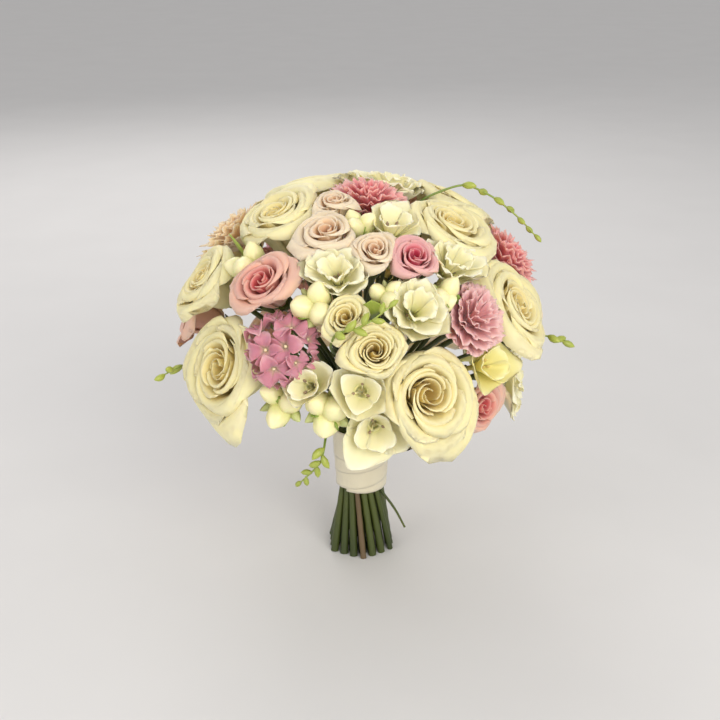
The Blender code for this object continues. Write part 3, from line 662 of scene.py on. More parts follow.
def rings_along(path: Array, radii: Array, sides: int) -> Array:
    """Rings of points round a path.

    Args:
        path: Points of the path.
        radii: Radius at each.
        sides: Points in each ring.

    Returns:
        The rings, one for each point of the path.
    """
    ahead = np.gradient(path, axis=0)
    ahead /= np.linalg.norm(ahead, axis=1)[:, None]
    side = np.cross(ahead[0], (0.31, 0.87, 0.39))
    turns = np.arange(sides) * 2 * math.pi / sides
    out = []
    for k in range(len(path)):
        side = unit(side - ahead[k] * (side @ ahead[k]))
        up = np.cross(ahead[k], side)
        out.append(path[k] + radii[k] * (np.cos(turns)[:, None] * side + np.sin(turns)[:, None] * up))
    return np.array(out)


def turned_rings(outline: Outline, sides: int, radius: float = 1.0, height: float = 1.0) -> Array:
    """Rings of a turned body.

    Args:
        outline: Radius and height of each ring, as shares.
        sides: Points in each ring.
        radius: What the radii are shares of.
        height: What the heights are shares of.

    Returns:
        The rings.
    """
    turns = np.arange(sides) * 2 * math.pi / sides
    return np.array([around(turns, r * radius, h * height) for r, h in outline])


def softened(ways: Array, steps: int, rounds: int) -> tuple[Array, Array]:
    """A line through a few points, cut finely and smoothed.

    Args:
        ways: The points.
        steps: Cuts from one of them to the next.
        rounds: How often it is smoothed.

    Returns:
        How far along each new point is, in points given, and the new points.
    """
    fine = np.linspace(0, len(ways) - 1, steps * (len(ways) - 1) + 1)
    path = np.stack([np.interp(fine, np.arange(len(ways)), ways[:, k]) for k in range(3)], axis=1)
    for _ in range(rounds):
        path[1:-1] = (path[:-2] + path[1:-1] * 2 + path[2:]) / 4
    return fine, path


class Repeats:
    """Geometry Nodes that set a small part on every point of a mesh, or sweep a round along its edges."""

    def __init__(self) -> None:
        """Builds both trees."""
        self.scatter = self.scatter_tree()
        self.sweep = self.sweep_tree()

    @staticmethod
    def tree(name: str, inputs: tuple[tuple[str, str], ...]) -> tuple[Graph, Wire, bpy.types.Node]:
        """A new tree with named inputs.

        Args:
            name: Its name.
            inputs: Name and socket type of each input after the geometry.

        Returns:
            Its graph, its input node's first socket and its output node.
        """
        tree = bpy.data.node_groups.new(name, "GeometryNodeTree")
        tree.interface.new_socket("Geometry", in_out="INPUT", socket_type="NodeSocketGeometry")
        for label, kind in inputs:
            tree.interface.new_socket(label, in_out="INPUT", socket_type=kind)
        tree.interface.new_socket("Geometry", in_out="OUTPUT", socket_type="NodeSocketGeometry")
        g = Graph(tree)
        return g, g.node("NodeGroupInput"), tree.nodes.new("NodeGroupOutput")

    @staticmethod
    def ending(g: Graph, geometry: Wire, material: Wire, end: bpy.types.Node) -> None:
        """Realises the instances and sets the finish.

        Args:
            g: The graph.
            geometry: What it has built.
            material: The finish.
            end: The output node.
        """
        geometry = g.node("GeometryNodeRealizeInstances", inputs={"Geometry": geometry})
        geometry = g.node("GeometryNodeSetShadeSmooth", inputs={"Geometry": geometry})
        geometry = g.node("GeometryNodeSetMaterial", inputs={"Geometry": geometry, "Material": material})
        g.tree.links.new(geometry.socket, end.inputs[0])

    @staticmethod
    def named(g: Graph, kind: str, name: str) -> Wire:
        """Reads an attribute of the points."""
        return g.node("GeometryNodeInputNamedAttribute", {"data_type": kind}, {"Name": name}, "Attribute")

    def scatter_tree(self) -> bpy.types.NodeTree:
        """The tree that joins copies of a part to a mesh.

        Returns:
            The tree.
        """
        g, start, end = self.tree("parts_on_points", (("Places", "NodeSocketObject"),
                                                      ("Part", "NodeSocketObject"),
                                                      ("Finish", "NodeSocketMaterial")))
        sockets = {s.name: Wire(g, s) for s in start.socket.node.outputs}
        places = g.node("GeometryNodeObjectInfo", inputs={"Object": sockets["Places"]}, out="Geometry")
        part = g.node("GeometryNodeObjectInfo", inputs={"Object": sockets["Part"]}, out="Geometry")
        spin = self.named(g, "FLOAT_VECTOR", "spin")
        size = self.named(g, "FLOAT", "size")
        copies = g.node("GeometryNodeInstanceOnPoints",
                        inputs={"Points": places, "Instance": part, "Rotation": spin, "Scale": size})
        join = g.node("GeometryNodeJoinGeometry")
        g.tree.links.new(copies.socket, join.socket.node.inputs[0])
        g.tree.links.new(sockets["Geometry"].socket, join.socket.node.inputs[0])
        self.ending(g, join, sockets["Finish"], end)
        return g.tree

    def sweep_tree(self) -> bpy.types.NodeTree:
        """The tree that gives every line of a mesh a round section.

        Returns:
            The tree.
        """
        g, start, end = self.tree("round_on_lines", (("Sides", "NodeSocketInt"),
                                                     ("Finish", "NodeSocketMaterial")))
        sockets = {s.name: Wire(g, s) for s in start.socket.node.outputs}
        lines = g.node("GeometryNodeMeshToCurve", inputs={"Mesh": sockets["Geometry"]})
        thick = self.named(g, "FLOAT", "thick")
        ring = g.node("GeometryNodeCurvePrimitiveCircle",
                      inputs={"Resolution": sockets["Sides"], "Radius": 1.0})
        body = g.node("GeometryNodeCurveToMesh",
                      inputs={"Curve": lines, "Profile Curve": ring, "Scale": thick, "Fill Caps": True})
        self.ending(g, body, sockets["Finish"], end)
        return g.tree

    @staticmethod
    def run(made: bpy.types.Object, tree: bpy.types.NodeTree, values: dict[str, object]) -> bpy.types.Object:
        """Runs a tree on an object and leaves the result as its plain mesh.

        Args:
            made: The object.
            tree: The tree.
            values: The tree's inputs by name.

        Returns:
            The same object.
        """
        modifier = made.modifiers.new("repeats", "NODES")
        modifier.node_group = tree
        for item in tree.interface.items_tree:
            if item.in_out == "INPUT" and item.name in values:
                modifier[item.identifier] = values[item.name]
        bpy.context.view_layer.update()
        seen = made.evaluated_get(bpy.context.evaluated_depsgraph_get())
        mesh = bpy.data.meshes.new_from_object(seen)
        made.modifiers.clear()
        made.data = mesh
        return made

    def place(self, made: bpy.types.Object, part: bpy.types.Object, spots: Spots,
              material: bpy.types.Material) -> bpy.types.Object:
        """Adds copies of a part to an object, and removes the part itself.

        Args:
            made: The object that takes them.
            part: The part, its own z pointing out.
            spots: Place, outward direction and size of each copy.
            material: Finish of the whole.

        Returns:
            The same object.
        """
        spins = []
        for k, (_, out, _) in enumerate(spots):
            aimed = Vector(out).to_track_quat("Z", "Y").to_euler().to_matrix()
            spins.append((aimed @ Matrix.Rotation(PART_TURN * k, 3, "Z")).to_euler())
        places = mesh_object("spots", np.array([p for p, _, _ in spots]), [], [],
                             spin=[tuple(e) for e in spins], size=[size for _, _, size in spots])
        self.run(made, self.scatter, {"Places": places, "Part": part, "Finish": material})
        bpy.data.objects.remove(places)
        bpy.data.objects.remove(part)
        return made

    def tubes(self, name: str, tubes: list[tuple[Array, Array, float]], sides: int,
              material: bpy.types.Material) -> bpy.types.Object:
        """Round bodies along paths, as one object.

        Args:
            name: Name of the object.
            tubes: Points of each path, the radius at each point, and what the finish reads: 1 for wood.
            sides: Sides of the section.
            material: The finish.

        Returns:
            The object.
        """
        edges, grain, part, at = [], [], [], 0
        for k, (path, _, organ) in enumerate(tubes):
            edges += [(at + j, at + j + 1) for j in range(len(path) - 1)]
            run = np.linspace(0, 1, len(path))
            grain.append(np.stack((run * 0 + 0.3 * k, run, run * 0 + (0.37 * k) % 1.0), axis=1))
            part.append(np.tile((0.0, organ, 0.0), (len(path), 1)))
            at += len(path)
        made = mesh_object(name, np.vstack([path for path, _, _ in tubes]), edges, [], grain=np.vstack(grain),
                           thick=np.concatenate([thick for _, thick, _ in tubes]), part=np.vstack(part))
        return self.run(made, self.sweep, {"Sides": sides, "Finish": material})


# ---------------------------------------------------------------- blooms


@dataclass
class Bloom:
    """One bloom: its place, the way it faces and the room its neighbours leave it."""

    name: str
    kind: Kind
    azimuth: float
    polar: float
    width_mm: float
    depth_mm: float
    tone: Tone
    shift: Array

    def __post_init__(self) -> None:
        """Works out the bloom's own frame."""
        face = face_point(self.azimuth, self.polar) - PIVOT
        self.reach = float(np.linalg.norm(face))
        self.axis = face / self.reach
        self.radius = self.width_mm / 2000
        self.height = self.depth_mm / 1000
        self.foot = PIVOT + self.axis * (self.reach - self.height)
        self.spread = math.atan(self.radius / self.reach)
        side = unit(np.cross((0, 0, 1), self.axis))
        self.frame = np.column_stack((side, np.cross(self.axis, side), self.axis))
        self.turn = math.radians(37 * self.azimuth + 11 * self.polar + EXTRA_TURN.get(self.name, 0))
        large = self.kind in (Kind.ROSE, Kind.BACK_ROSE) and self.radius > LARGE
        self.fill = min(MOST_FILL, 1.0 + (SPARE if large else SMALL_SPARE) / self.radius)
        self.free = 1.0 + FREE_RIM / self.radius if large else FREE_SHARE
        self.look = 3 if large else 0
        self.dice = np.random.default_rng(SEED + sum(map(ord, self.name)))

    def find_room(self, others: list["Bloom"]) -> None:
        """Finds the planes through the pivot that part this bloom from each other one.

        Args:
            others: All the blooms.
        """
        normals, limits = [], []
        for other in others:
            if other is self:
                continue
            n = unit(other.axis / math.cos(other.spread) - self.axis / math.cos(self.spread))
            normals.append(self.frame.T @ n)
            limits.append(-n @ (self.foot - PIVOT) + PRESS)
        self.normals = np.array(normals)
        self.limits = np.array(limits)

    def open_way(self) -> float | None:
        """The way round the bloom toward its open side, or None where neighbours stand all round it.

        Returns:
            The angle in radians, or None.
        """
        turns = np.arange(72) * math.pi / 36
        left = np.maximum(self.limits - 0.8 * self.height * self.normals[:, 2], LEAST)
        near = np.maximum(around(turns, 1.0, 0.0)[:, :2] @ self.normals[:, :2].T, 0.0) / left
        room = 1 / np.maximum(near.max(axis=1), 1e-3) / self.radius
        if room.max() < OPEN[0]:
            return None
        free = turns[room > 1.4]
        return math.atan2(np.sin(free).sum(), np.cos(free).sum())

    def fit(self, grid: Array, droop: float = 0.0) -> Array:
        """Draws points in or out from the axis so that the bloom fills its room, the outer ones most.

        Args:
            grid: Points in the bloom's own frame, in any shape.
            droop: How far the outer ones sink where no neighbour holds them up, as a share of the height.

        Returns:
            The moved points.
        """
        points = np.array(grid, float).reshape(-1, 3)
        away = np.maximum(np.linalg.norm(points[:, :2], axis=1), 1e-9)
        u = points[:, :2] / away[:, None]
        full = self.radius * np.interp(points[:, 2] / self.height, (0, 0.45, 0.7, 2), (0.45, 0.90, 1.0, 1.0))
        left = np.maximum(self.limits[None, :] - points[:, 2:3] * self.normals[None, :, 2], LEAST)
        share, loose = np.zeros(len(points)), np.zeros(len(points))
        reach = self.look + len(LOOK_WEIGHTS) // 2
        rooms = []
        for turn in np.arange(-reach, reach + 1) * LOOK_STEP:
            c, d = math.cos(turn), math.sin(turn)
            aside = np.stack((u[:, 0] * c - u[:, 1] * d, u[:, 0] * d + u[:, 1] * c), axis=1)
            near = np.maximum(aside @ self.normals[:, :2].T, 0.0) / left
            rooms.append(((near ** CORNER).sum(axis=1) + 1e-9) ** (-1 / CORNER) * 1.04 / full)
        for n, weight in enumerate(LOOK_WEIGHTS):
            room = rooms[n + self.look]
            widest = np.max(rooms[n:n + 2 * self.look + 1], axis=0)
            held = np.clip(room, TIGHTEST, self.fill)
            share += weight * (held + (np.minimum(self.free, held) - held) * smooth(widest, *OPEN))
            loose += weight * smooth(room, *LOOSE)
        loose = loose * smooth(away / full, 0.5, 1.05)
        whole = np.minimum(1.0, share / KEPT)
        rest = share / whole
        points[:, :2] *= (whole * (1 + (rest - 1) * np.minimum(away / full, 1.0)))[:, None]
        points[:, 2] -= droop * self.height * loose
        return points.reshape(np.shape(grid))

    def clamp(self, points: Array) -> Array:
        """Brings points back inside the room where thickness pushed them out.

        Args:
            points: Points in the bloom's own frame, one in each row.

        Returns:
            The moved points.
        """
        points = np.array(points, float)
        for _ in range(6):
            over = points @ self.normals.T - self.limits[None, :]
            points -= self.normals[over.argmax(axis=1)] * np.maximum(over.max(axis=1), 0.0)[:, None]
        points[:, 2] = np.maximum(points[:, 2], CLEAR)
        return points

    def world(self, points: Array) -> Array:
        """Points of the bloom's own frame in the shared one."""
        return points @ self.frame.T + self.foot + self.shift


def grid_of(rows: int, cols: int) -> tuple[Array, Array]:
    """Places across, from -1 to 1, and along, from 0 to 1, of a grid with more rows near its rim."""
    across, along = np.meshgrid(np.linspace(-1, 1, cols), np.linspace(0, 1, rows) ** 0.85)
    return across, along


@dataclass
class Maker:
    """Makes one bloom's fine piece: closed sheets and bodies, and copies of a small part set on them."""

    bloom: Bloom

    def gather(self, skin: Skin) -> Spots:
        """Adds the bloom's sheets and bodies.

        Args:
            skin: Takes them, in the bloom's own frame.

        Returns:
            Place, outward direction and size of each copy of the small part, in the shared frame.
        """
        raise NotImplementedError

    def part(self) -> bpy.types.Object:
        """The small part, standing on its own z."""
        raise NotImplementedError

    def turned(self, skin: Skin, outline: Outline, sides: int, depth: float = 1.0) -> None:
        """Adds a turned body about the bloom's axis, its outline in shares of the bloom's size."""
        skin.turned(turned_rings(outline, sides, self.bloom.radius, self.bloom.height), 0.5, depth)

    def build(self, repeats: Repeats, paints: dict[Tone, bpy.types.Material]) -> bpy.types.Object:
        """Builds the piece.

        Args:
            repeats: The node trees.
            paints: The finishes.

        Returns:
            Its object.
        """
        skin = Skin()
        spots = self.gather(skin)
        made = skin.object(self.bloom.name + "_fine", self.bloom)
        if spots:
            return repeats.place(made, self.part(), spots, paints[self.bloom.tone])
        made.data.materials.append(paints[self.bloom.tone])
        return made


@dataclass
class Rose(Maker):
    """A rose: petals in a golden-angle spiral, cupped at the heart and rolled back at the outside."""

    petals: int = 18
    rows: int = 11
    cols: int = 11
    thick: float = 0.00028
    droop: float = 0.19
    overhang: float = 0.45
    keys: tuple[float, ...] = (0.0, 0.45, 0.85, 1.0)
    core: Outline = ((0.10, 0.0), (0.17, 0.10), (0.15, 0.35), (0.05, 0.62))

    def line(self, layer: float, t: Array) -> tuple[Array, Array]:
        """Radius and height of a petal's middle line, as shares of the bloom's.

        Args:
            layer: 0 at the heart, 1 outermost.
            t: Places along the petal.

        Returns:
            Radii and heights.
        """
        crest = 0.92 + 0.22 * layer - 0.29 * layer ** 2
        radii = (0.05 + 0.10 * layer, 0.13 + 0.42 * layer, 0.11 + 0.79 * layer, 0.10 + 0.97 * layer)
        heights = (0.15 - 0.02 * layer, 0.58 + 0.02 * layer, crest, crest - 0.01 - 0.15 * layer ** 2)
        base = np.vander(self.keys, 4)
        powers = np.vander(t.ravel(), 4)
        r = powers @ np.linalg.solve(base, radii)
        h = powers @ np.linalg.solve(base, heights)
        return r.reshape(t.shape), h.reshape(t.shape)

    def petal(self, layer: float, angle: float) -> tuple[Array, Array, Array]:
        """One petal as a grid of points.

        Args:
            layer: 0 at the heart, 1 outermost.
            angle: Its place round the rose.

        Returns:
            The grid, and the places across and along it.
        """
        dice = self.bloom.dice
        s, t = grid_of(self.rows, self.cols)
        edge = np.abs(s)
        dip = 0.10 + 0.13 * layer
        lobe = 0.03 * layer * np.exp(-(s / 0.20) ** 2)
        te = t * (1 - dip * edge ** 2.8 + lobe * t)
        r, h = self.line(layer, te)
        half = math.radians(112 - 50 * layer) * (1 - 0.16 * smooth(te, 0.5, 1.0))
        phase = dice.uniform(0, 6.28)
        rim = smooth(te, 0.5, 1.0)
        r = r * (1 + (0.16 - 0.11 * layer) * s)
        r = r + 0.035 * layer * rim * np.sin(2.2 * s + phase) - 0.03 * layer * rim * edge ** 3
        h = h + (0.012 + 0.040 * layer) * rim * np.sin(2.9 * s + 1.7 * phase)
        h = h - 0.05 * layer * smooth(te, 0.86, 1.0) - 0.03 * layer * rim * edge ** 2
        h = h * dice.uniform(0.965, 1.02)
        tilt = angle + s * half + dice.uniform(-0.10, 0.10)
        grid = around(tilt, np.maximum(r, 0.015) * self.bloom.radius, h * self.bloom.height)
        aside = (1 - layer) * 0.045 * self.bloom.radius * smooth(t, 0.2, 0.9)
        grid[:, :, 0] += aside * math.cos(angle + 1.3)
        grid[:, :, 1] += aside * math.sin(angle + 1.3)
        return self.bloom.fit(grid, self.droop), s, t

    def gather(self, skin: Skin) -> Spots:
        """Adds the petals and the core; the last two petals hang over the open side, if there is one.

        Args:
            skin: Takes them, in the bloom's own frame.

        Returns:
            An empty list, as it has no small part.
        """
        b = self.bloom
        way = b.open_way()
        start = b.turn if way is None else way + self.overhang - (self.petals - 1) * GOLDEN
        for k in range(self.petals):
            layer = min((k + 0.3) / (self.petals - 1.9), 1.0)
            grid, s, t = self.petal(layer, start + k * GOLDEN)
            skin.sheet(grid, s, t, float(b.dice.uniform()), (1 - layer) ** 1.6, self.thick)
        self.turned(skin, self.core, 10)
        return []


# Rings of petals: how many, first angle, (radius, height) of foot, middle and tip, half width in degrees
Ring = tuple[int, float, tuple[float, float], tuple[float, float], tuple[float, float], float]
SINGLE = ((3, 0.0, (0.15, 0.30), (0.72, 0.60), (1.10, 0.93), 70),
          (3, math.pi / 3, (0.12, 0.32), (0.42, 0.66), (0.68, 1.03), 66))
DOUBLE = ((5, 0.0, (0.16, 0.30), (0.80, 0.60), (1.14, 0.84), 46),
          (5, 0.6, (0.13, 0.34), (0.60, 0.70), (0.92, 0.97), 44),
          (4, 0.3, (0.09, 0.36), (0.34, 0.80), (0.54, 1.04), 52))


@dataclass
class Freesia(Maker):
    """A freesia: a funnel that opens into rings of petals, with stamens in its throat."""

    rings: tuple[Ring, ...] = SINGLE
    ruffle: float = 0.035
    rows: int = 12
    cols: int = 13
    thick: float = 0.0003
    stamens: int = 3
    stamen_size: float = 1.45
    tube: Outline = ((0.10, 0.0), (0.11, 0.16), (0.17, 0.32), (0.22, 0.44), (0.20, 0.44), (0.14, 0.32),
                     (0.07, 0.22), (0.03, 0.18))

    def tepal(self, angle: float, root: tuple[float, float], belly: tuple[float, float],
              tip: tuple[float, float], half: float) -> tuple[Array, Array, Array]:
        """One petal as a grid of points.

        Args:
            angle: Its place round the flower.
            root: Radius and height of its foot, as shares of the bloom's.
            belly: The same at its middle.
            tip: The same at its tip.
            half: Half its width, in radians, at the widest.

        Returns:
            The grid, and the places across and along it.
        """
        s, t = grid_of(self.rows, self.cols)
        bend = [2 * b - (a + c) / 2 for a, b, c in zip(root, belly, tip)]
        shape = np.interp(t, (0, 0.2, 0.5, 0.75, 0.9, 1.0), (0.60, 0.84, 1.0, 0.98, 0.80, 0.44))
        t = t * (1 - 0.13 * np.abs(s) ** 2.4)
        r, h = ((1 - t) ** 2 * a + 2 * t * (1 - t) * b + t * t * c for a, b, c in zip(root, bend, tip))
        phase = self.bloom.dice.uniform(0, 6.28)
        h = h + 0.08 * s * s * np.sin(math.pi * t) - 0.025 * np.exp(-(s / 0.16) ** 2) * t
        h = h - 0.10 * smooth(t, 0.7, 1.0) + self.ruffle * t * np.sin(5.5 * s + phase)
        r = r + self.ruffle * 0.8 * t * np.sin(4.0 * s + 2 * phase)
        grid = around(angle + s * half * shape, r * self.bloom.radius, h * self.bloom.height)
        return self.bloom.fit(grid), s, t

    def part(self) -> bpy.types.Object:
        """One stamen, a thread with its pollen sac.

        Returns:
            Its object.
        """
        skin = Skin()
        path = np.array([(0.0010 * k * k / 9, 0.0, 0.0024 * k) for k in range(4)])
        skin.turned(rings_along(path, np.array((0.00035, 0.0003, 0.0003, 0.0003)), 5), 0.4, 0.0)
        top = np.array([(0.0010 + 0.0002 * k, 0.0, 0.0066 + 0.0010 * k) for k in range(4)])
        skin.turned(rings_along(top, np.array((0.0003, 0.0007, 0.0007, 0.0002)), 6), 0.4, 0.0, 1.0)
        return skin.object("stamen")

    def gather(self, skin: Skin) -> Spots:
        """Adds the petals and the tube, and finds the feet of the stamens.

        Args:
            skin: Takes them, in the bloom's own frame.

        Returns:
            Place, outward direction and size of each stamen.
        """
        b = self.bloom
        for count, start, root, belly, tip, half in self.rings:
            for k in range(count):
                angle = b.turn + start + 2 * math.pi * k / count + b.dice.uniform(-0.08, 0.08)
                grid, s, t = self.tepal(angle, root, belly, tip, math.radians(half))
                skin.sheet(grid, s, t, float(b.dice.uniform()), 0.35, self.thick)
        self.turned(skin, self.tube, 12, 0.9)
        turns = [b.turn + 2 * math.pi * k / self.stamens for k in range(self.stamens)]
        return [(b.world(around(a, 0.04 * b.radius, 0.22 * b.height)), b.frame @ around(a, 0.24, 1.0),
                 self.stamen_size) for a in turns]


@dataclass
class Carnation(Maker):
    """A carnation: rings of fan-shaped petals with toothed, waved edges."""

    rows: int = 6
    cols: int = 13
    thick: float = 0.00035
    tooth: float = 0.07
    core: Outline = ((0.10, 0.0), (0.20, 0.10), (0.22, 0.32), (0.10, 0.62))
    # How many petals, (radius, height) of foot and rim, half width in degrees
    rings: tuple[tuple[int, tuple[float, float], tuple[float, float], float], ...] = (
        (11, (0.12, 0.30), (1.02, 0.60), 24), (10, (0.10, 0.34), (0.92, 0.76), 25),
        (9, (0.08, 0.38), (0.74, 0.90), 28), (7, (0.06, 0.42), (0.52, 0.99), 32),
        (5, (0.04, 0.46), (0.28, 1.03), 44))

    def gather(self, skin: Skin) -> Spots:
        """Adds the petals and the core.

        Args:
            skin: Takes them, in the bloom's own frame.

        Returns:
            An empty list, as it has no small part.
        """
        b = self.bloom
        for ring, (count, root, end, half) in enumerate(self.rings):
            for k in range(count):
                angle = b.turn + 0.4 * ring + 2 * math.pi * k / count + b.dice.uniform(-0.1, 0.1)
                s, t = grid_of(self.rows, self.cols)
                teeth = self.tooth * (np.arange(self.cols) % 2)[None, :]
                te = t * (1 - 0.12 * s * s - teeth * t)
                phase = b.dice.uniform(0, 6.28)
                wave = smooth(t, 0.25, 1.0) * np.sin(5.2 * s + phase)
                r = root[0] + (end[0] - root[0]) * te + 0.05 * wave
                h = root[1] + (end[1] - root[1]) * te ** 0.8 + 0.075 * wave * np.cos(2.0 * s + phase)
                fan = math.radians(half) * (0.5 + 0.5 * te)
                grid = b.fit(around(angle + s * fan + 0.05 * wave, r * b.radius, h * b.height))
                skin.sheet(grid, s, te, float(b.dice.uniform()), 0.25 + 0.15 * ring / 4, self.thick)
        self.turned(skin, self.core, 12)
        return []


@dataclass
class Hydrangea(Maker):
    """A broken hydrangea head: four-sepalled florets on stalks, over a small dome."""

    florets: int = 19
    usual_radius: float = 0.027
    thick: float = 0.00035
    widest_lean: float = 98.0
    tilt: float = 0.42
    floret_share: float = 0.47
    stalk_radius: float = 0.0006
    bead: Outline = ((0.03, -0.02), (0.10, 0.04), (0.10, 0.11), (0.03, 0.16))
    stalk: Outline = ((0.0024, 0.0), (0.0022, 0.2), (0.0030, 0.34), (0.0010, 0.44))

    def part(self) -> bpy.types.Object:
        """One floret of unit radius, with a small green bead at its middle.

        Returns:
            Its object.
        """
        skin = Skin()
        s, t = grid_of(8, 7)
        shape = np.interp(t, (0, 0.3, 0.62, 0.85, 1.0), (0.25, 0.72, 1.0, 0.82, 0.20))
        x, y = 0.05 + 0.95 * t, 0.50 * s * shape
        cup = 0.26 * np.sin(math.pi * t * 0.9) + 0.34 * (s * shape) ** 2 - 0.10 * smooth(t, 0.6, 1.0)
        for k in range(4):
            z = cup - 0.04 * np.exp(-(s / 0.2) ** 2) + 0.008 * k + 0.07 * t * np.sin(2.5 * s + 1.9 * k)
            a = k * math.pi / 2 + 0.06 * k
            grid = np.stack((x * math.cos(a) - y * math.sin(a), x * math.sin(a) + y * math.cos(a), z), axis=-1)
            skin.sheet(grid, s, t, 0.25 * k, 0.3, self.thick / (0.42 * self.bloom.radius))
        skin.turned(turned_rings(self.bead, 8), 0.5, 0.0, 1.0)
        return skin.object("floret")

    def gather(self, skin: Skin) -> Spots:
        """Adds the stalks and finds the place, way and size of each floret, smaller beside a neighbour.

        Args:
            skin: Takes them, in the bloom's own frame.

        Returns:
            Place, outward direction and size of each floret.
        """
        b = self.bloom
        middle = np.array((0, 0, 0.42 * b.height))
        reach = np.array((0.86 * b.radius, 0.86 * b.radius, 0.56 * b.height))
        spots = []
        florets = round(self.florets * (b.radius / self.usual_radius) ** 1.6)
        for k in range(florets):
            lean = math.radians(self.widest_lean) * math.sqrt((k + 0.3) / florets)
            a = b.turn + k * GOLDEN
            out = np.array((math.sin(lean) * math.cos(a), math.sin(lean) * math.sin(a), math.cos(lean)))
            spot = b.fit(middle + out * reach * b.dice.uniform(0.9, 1.02))
            path = np.linspace(middle * 0.5, spot - out * self.stalk_radius, 4)
            skin.turned(rings_along(path, np.full(4, self.stalk_radius), 5), 0.5, 1.0, 2.0)
            tipped = unit(out + b.dice.uniform(-self.tilt, self.tilt, 3))
            size = self.floret_share * b.radius * b.dice.uniform(0.85, 1.1)
            wall = float((b.limits - b.normals @ spot).min())
            size = min(size, max(0.55 * size, 1.2 * wall + 0.001))
            spots.append((b.world(spot), b.frame @ tipped, size))
        skin.turned(turned_rings(self.stalk, 8, 1.0, b.height), 0.5, 1.0, 2.0)
        return spots


def bud_rings(foot: Array, tip: Array, width: float, rows: int = 12, sides: int = 27) -> Array:
    """Rings of a fat pointed bud.

    Args:
        foot: Where it starts.
        tip: Where it ends.
        width: Its greatest width.
        rows: Rings along it.
        sides: Points in each ring.

    Returns:
        The rings.
    """
    t = np.linspace(0, 1, rows)
    share = np.interp(t, (0, 0.15, 0.4, 0.7, 0.9, 1.0), (0.18, 0.62, 0.98, 0.87, 0.45, 0.05))
    path = foot[None, :] + (tip - foot)[None, :] * t[:, None]
    side = unit(np.cross(tip - foot, (0.3, 0.5, 0.81)))
    path = path + side[None, :] * (0.06 * np.linalg.norm(tip - foot) * np.sin(math.pi * t))[:, None]
    rings = rings_along(path, share * width / 2, sides)
    lap = (3 * np.arange(sides)[None, :] / sides + 0.45 * t[:, None]) % 1.0
    centre = rings.mean(axis=1, keepdims=True)
    return centre + (rings - centre) * (0.93 + 0.15 * lap * np.sin(math.pi * t[:, None]))[:, :, None]


@dataclass
class BudCluster(Maker):
    """Fat freesia buds on a stalk, each in a small green sheath, with smaller green ones beside them."""

    fat: int = 3

    def part(self) -> bpy.types.Object:
        """The two small green bracts that hold a bud's foot, of unit length.

        Returns:
            Its object.
        """
        skin = Skin()
        s, t = grid_of(5, 5)
        wide = np.interp(t, (0, 0.3, 1.0), (0.9, 1.0, 0.25))
        for side in (0, 1):
            grid = around(side * math.pi + s * 1.1 * wide, 0.20 + 0.34 * t ** 0.7, t)
            skin.sheet(grid, s, t * 0.3, 0.5, 0.0, 0.05, 1.0)
        return skin.object("sheath")

    def gather(self, skin: Skin) -> Spots:
        """Adds the stalk and the buds, and finds the place of each sheath.

        Args:
            skin: Takes them, in the bloom's own frame.

        Returns:
            Place, outward direction and size of each sheath.
        """
        b = self.bloom
        stalk = np.array(((0, 0, CLEAR), (0, 0, 0.25 * b.height), (0, 0, 0.5 * b.height)))
        skin.turned(rings_along(stalk, np.array((0.0014, 0.0015, 0.0010)), 8), 0.2, 0.0, 1.0)
        spots = []
        for k in range(self.fat * 2):
            big = k < self.fat
            a = b.turn + 2 * math.pi * (k + (0.0 if big else 0.5)) / self.fat
            foot = around(a, 0.0010, (0.30 if big else 0.24) * b.height)
            tip = around(a, (0.74 if big else 0.80) * b.radius,
                         (1.0 - 0.08 * k if big else 0.62 - 0.06 * (k - self.fat)) * b.height)
            foot, tip = b.fit(np.array((foot, tip)))
            wide = (0.92 if big else 0.42) * b.radius
            skin.turned(bud_rings(foot, tip, wide), 0.5 + 0.1 * k, 0.0, 0.0 if big else 0.55)
            spots.append((b.world(foot + (tip - foot) * 0.04), b.frame @ unit(tip - foot), wide * 0.80))
        return spots


@dataclass
class Sprig(Maker):
    """A thin green freesia tip with small pointed buds along it, each smaller than the last."""

    steps: int = 8

    def part(self) -> bpy.types.Object:
        """One small bud of unit length.

        Returns:
            Its object.
        """
        skin = Skin()
        rings = bud_rings(np.array((0.0, 0.0, -0.04)), np.array((0.0, 0.0, 1.0)), 0.50, 8, 9)
        skin.turned(rings, 0.5, 0.0, 0.6)
        return skin.object("tip_bud")

    def build(self, repeats: Repeats, paints: dict[Tone, bpy.types.Material]) -> bpy.types.Object:
        """Builds the sprig: its stem through the points of SPRIG_WAYS, with a bud at every half of the way.

        Args:
            repeats: The node trees.
            paints: The finishes.

        Returns:
            Its object.
        """
        b = self.bloom
        ways = [np.array((0.0, 0.0, CLEAR)), np.array((0.0, 0.0, b.height * 0.6))]
        for azimuth, polar, lift in SPRIG_WAYS[b.name]:
            ways.append(b.frame.T @ (face_point(azimuth, polar, lift / 1000) - b.foot))
        fine, soft = softened(b.world(np.array(ways)), self.steps, 6)
        last = len(ways) - 1
        thick = np.interp(fine, (0, 1, last), (0.0013, 0.0009, 0.0005))
        made = repeats.tubes(b.name + "_fine", [(soft, thick, 0.0)], 8, paints[b.tone])
        stops = [k + t for k in range(2, last) for t in (0.0, 0.5)] + [last]
        centre = PIVOT + b.shift
        spots = []
        for n, stop in enumerate(stops):
            at = min(int(stop * self.steps), len(soft) - 1)
            ahead = unit(soft[at] - soft[at - 1])
            side = unit(np.cross(ahead, unit(soft[at] - centre)))
            lean = unit(ahead + side * (0.8, -0.8)[n % 2] * (stop < last))
            spots.append((soft[at] - lean * 0.0004, lean, 0.0112 - 0.0006 * n))
        return repeats.place(made, self.part(), spots, paints[b.tone])


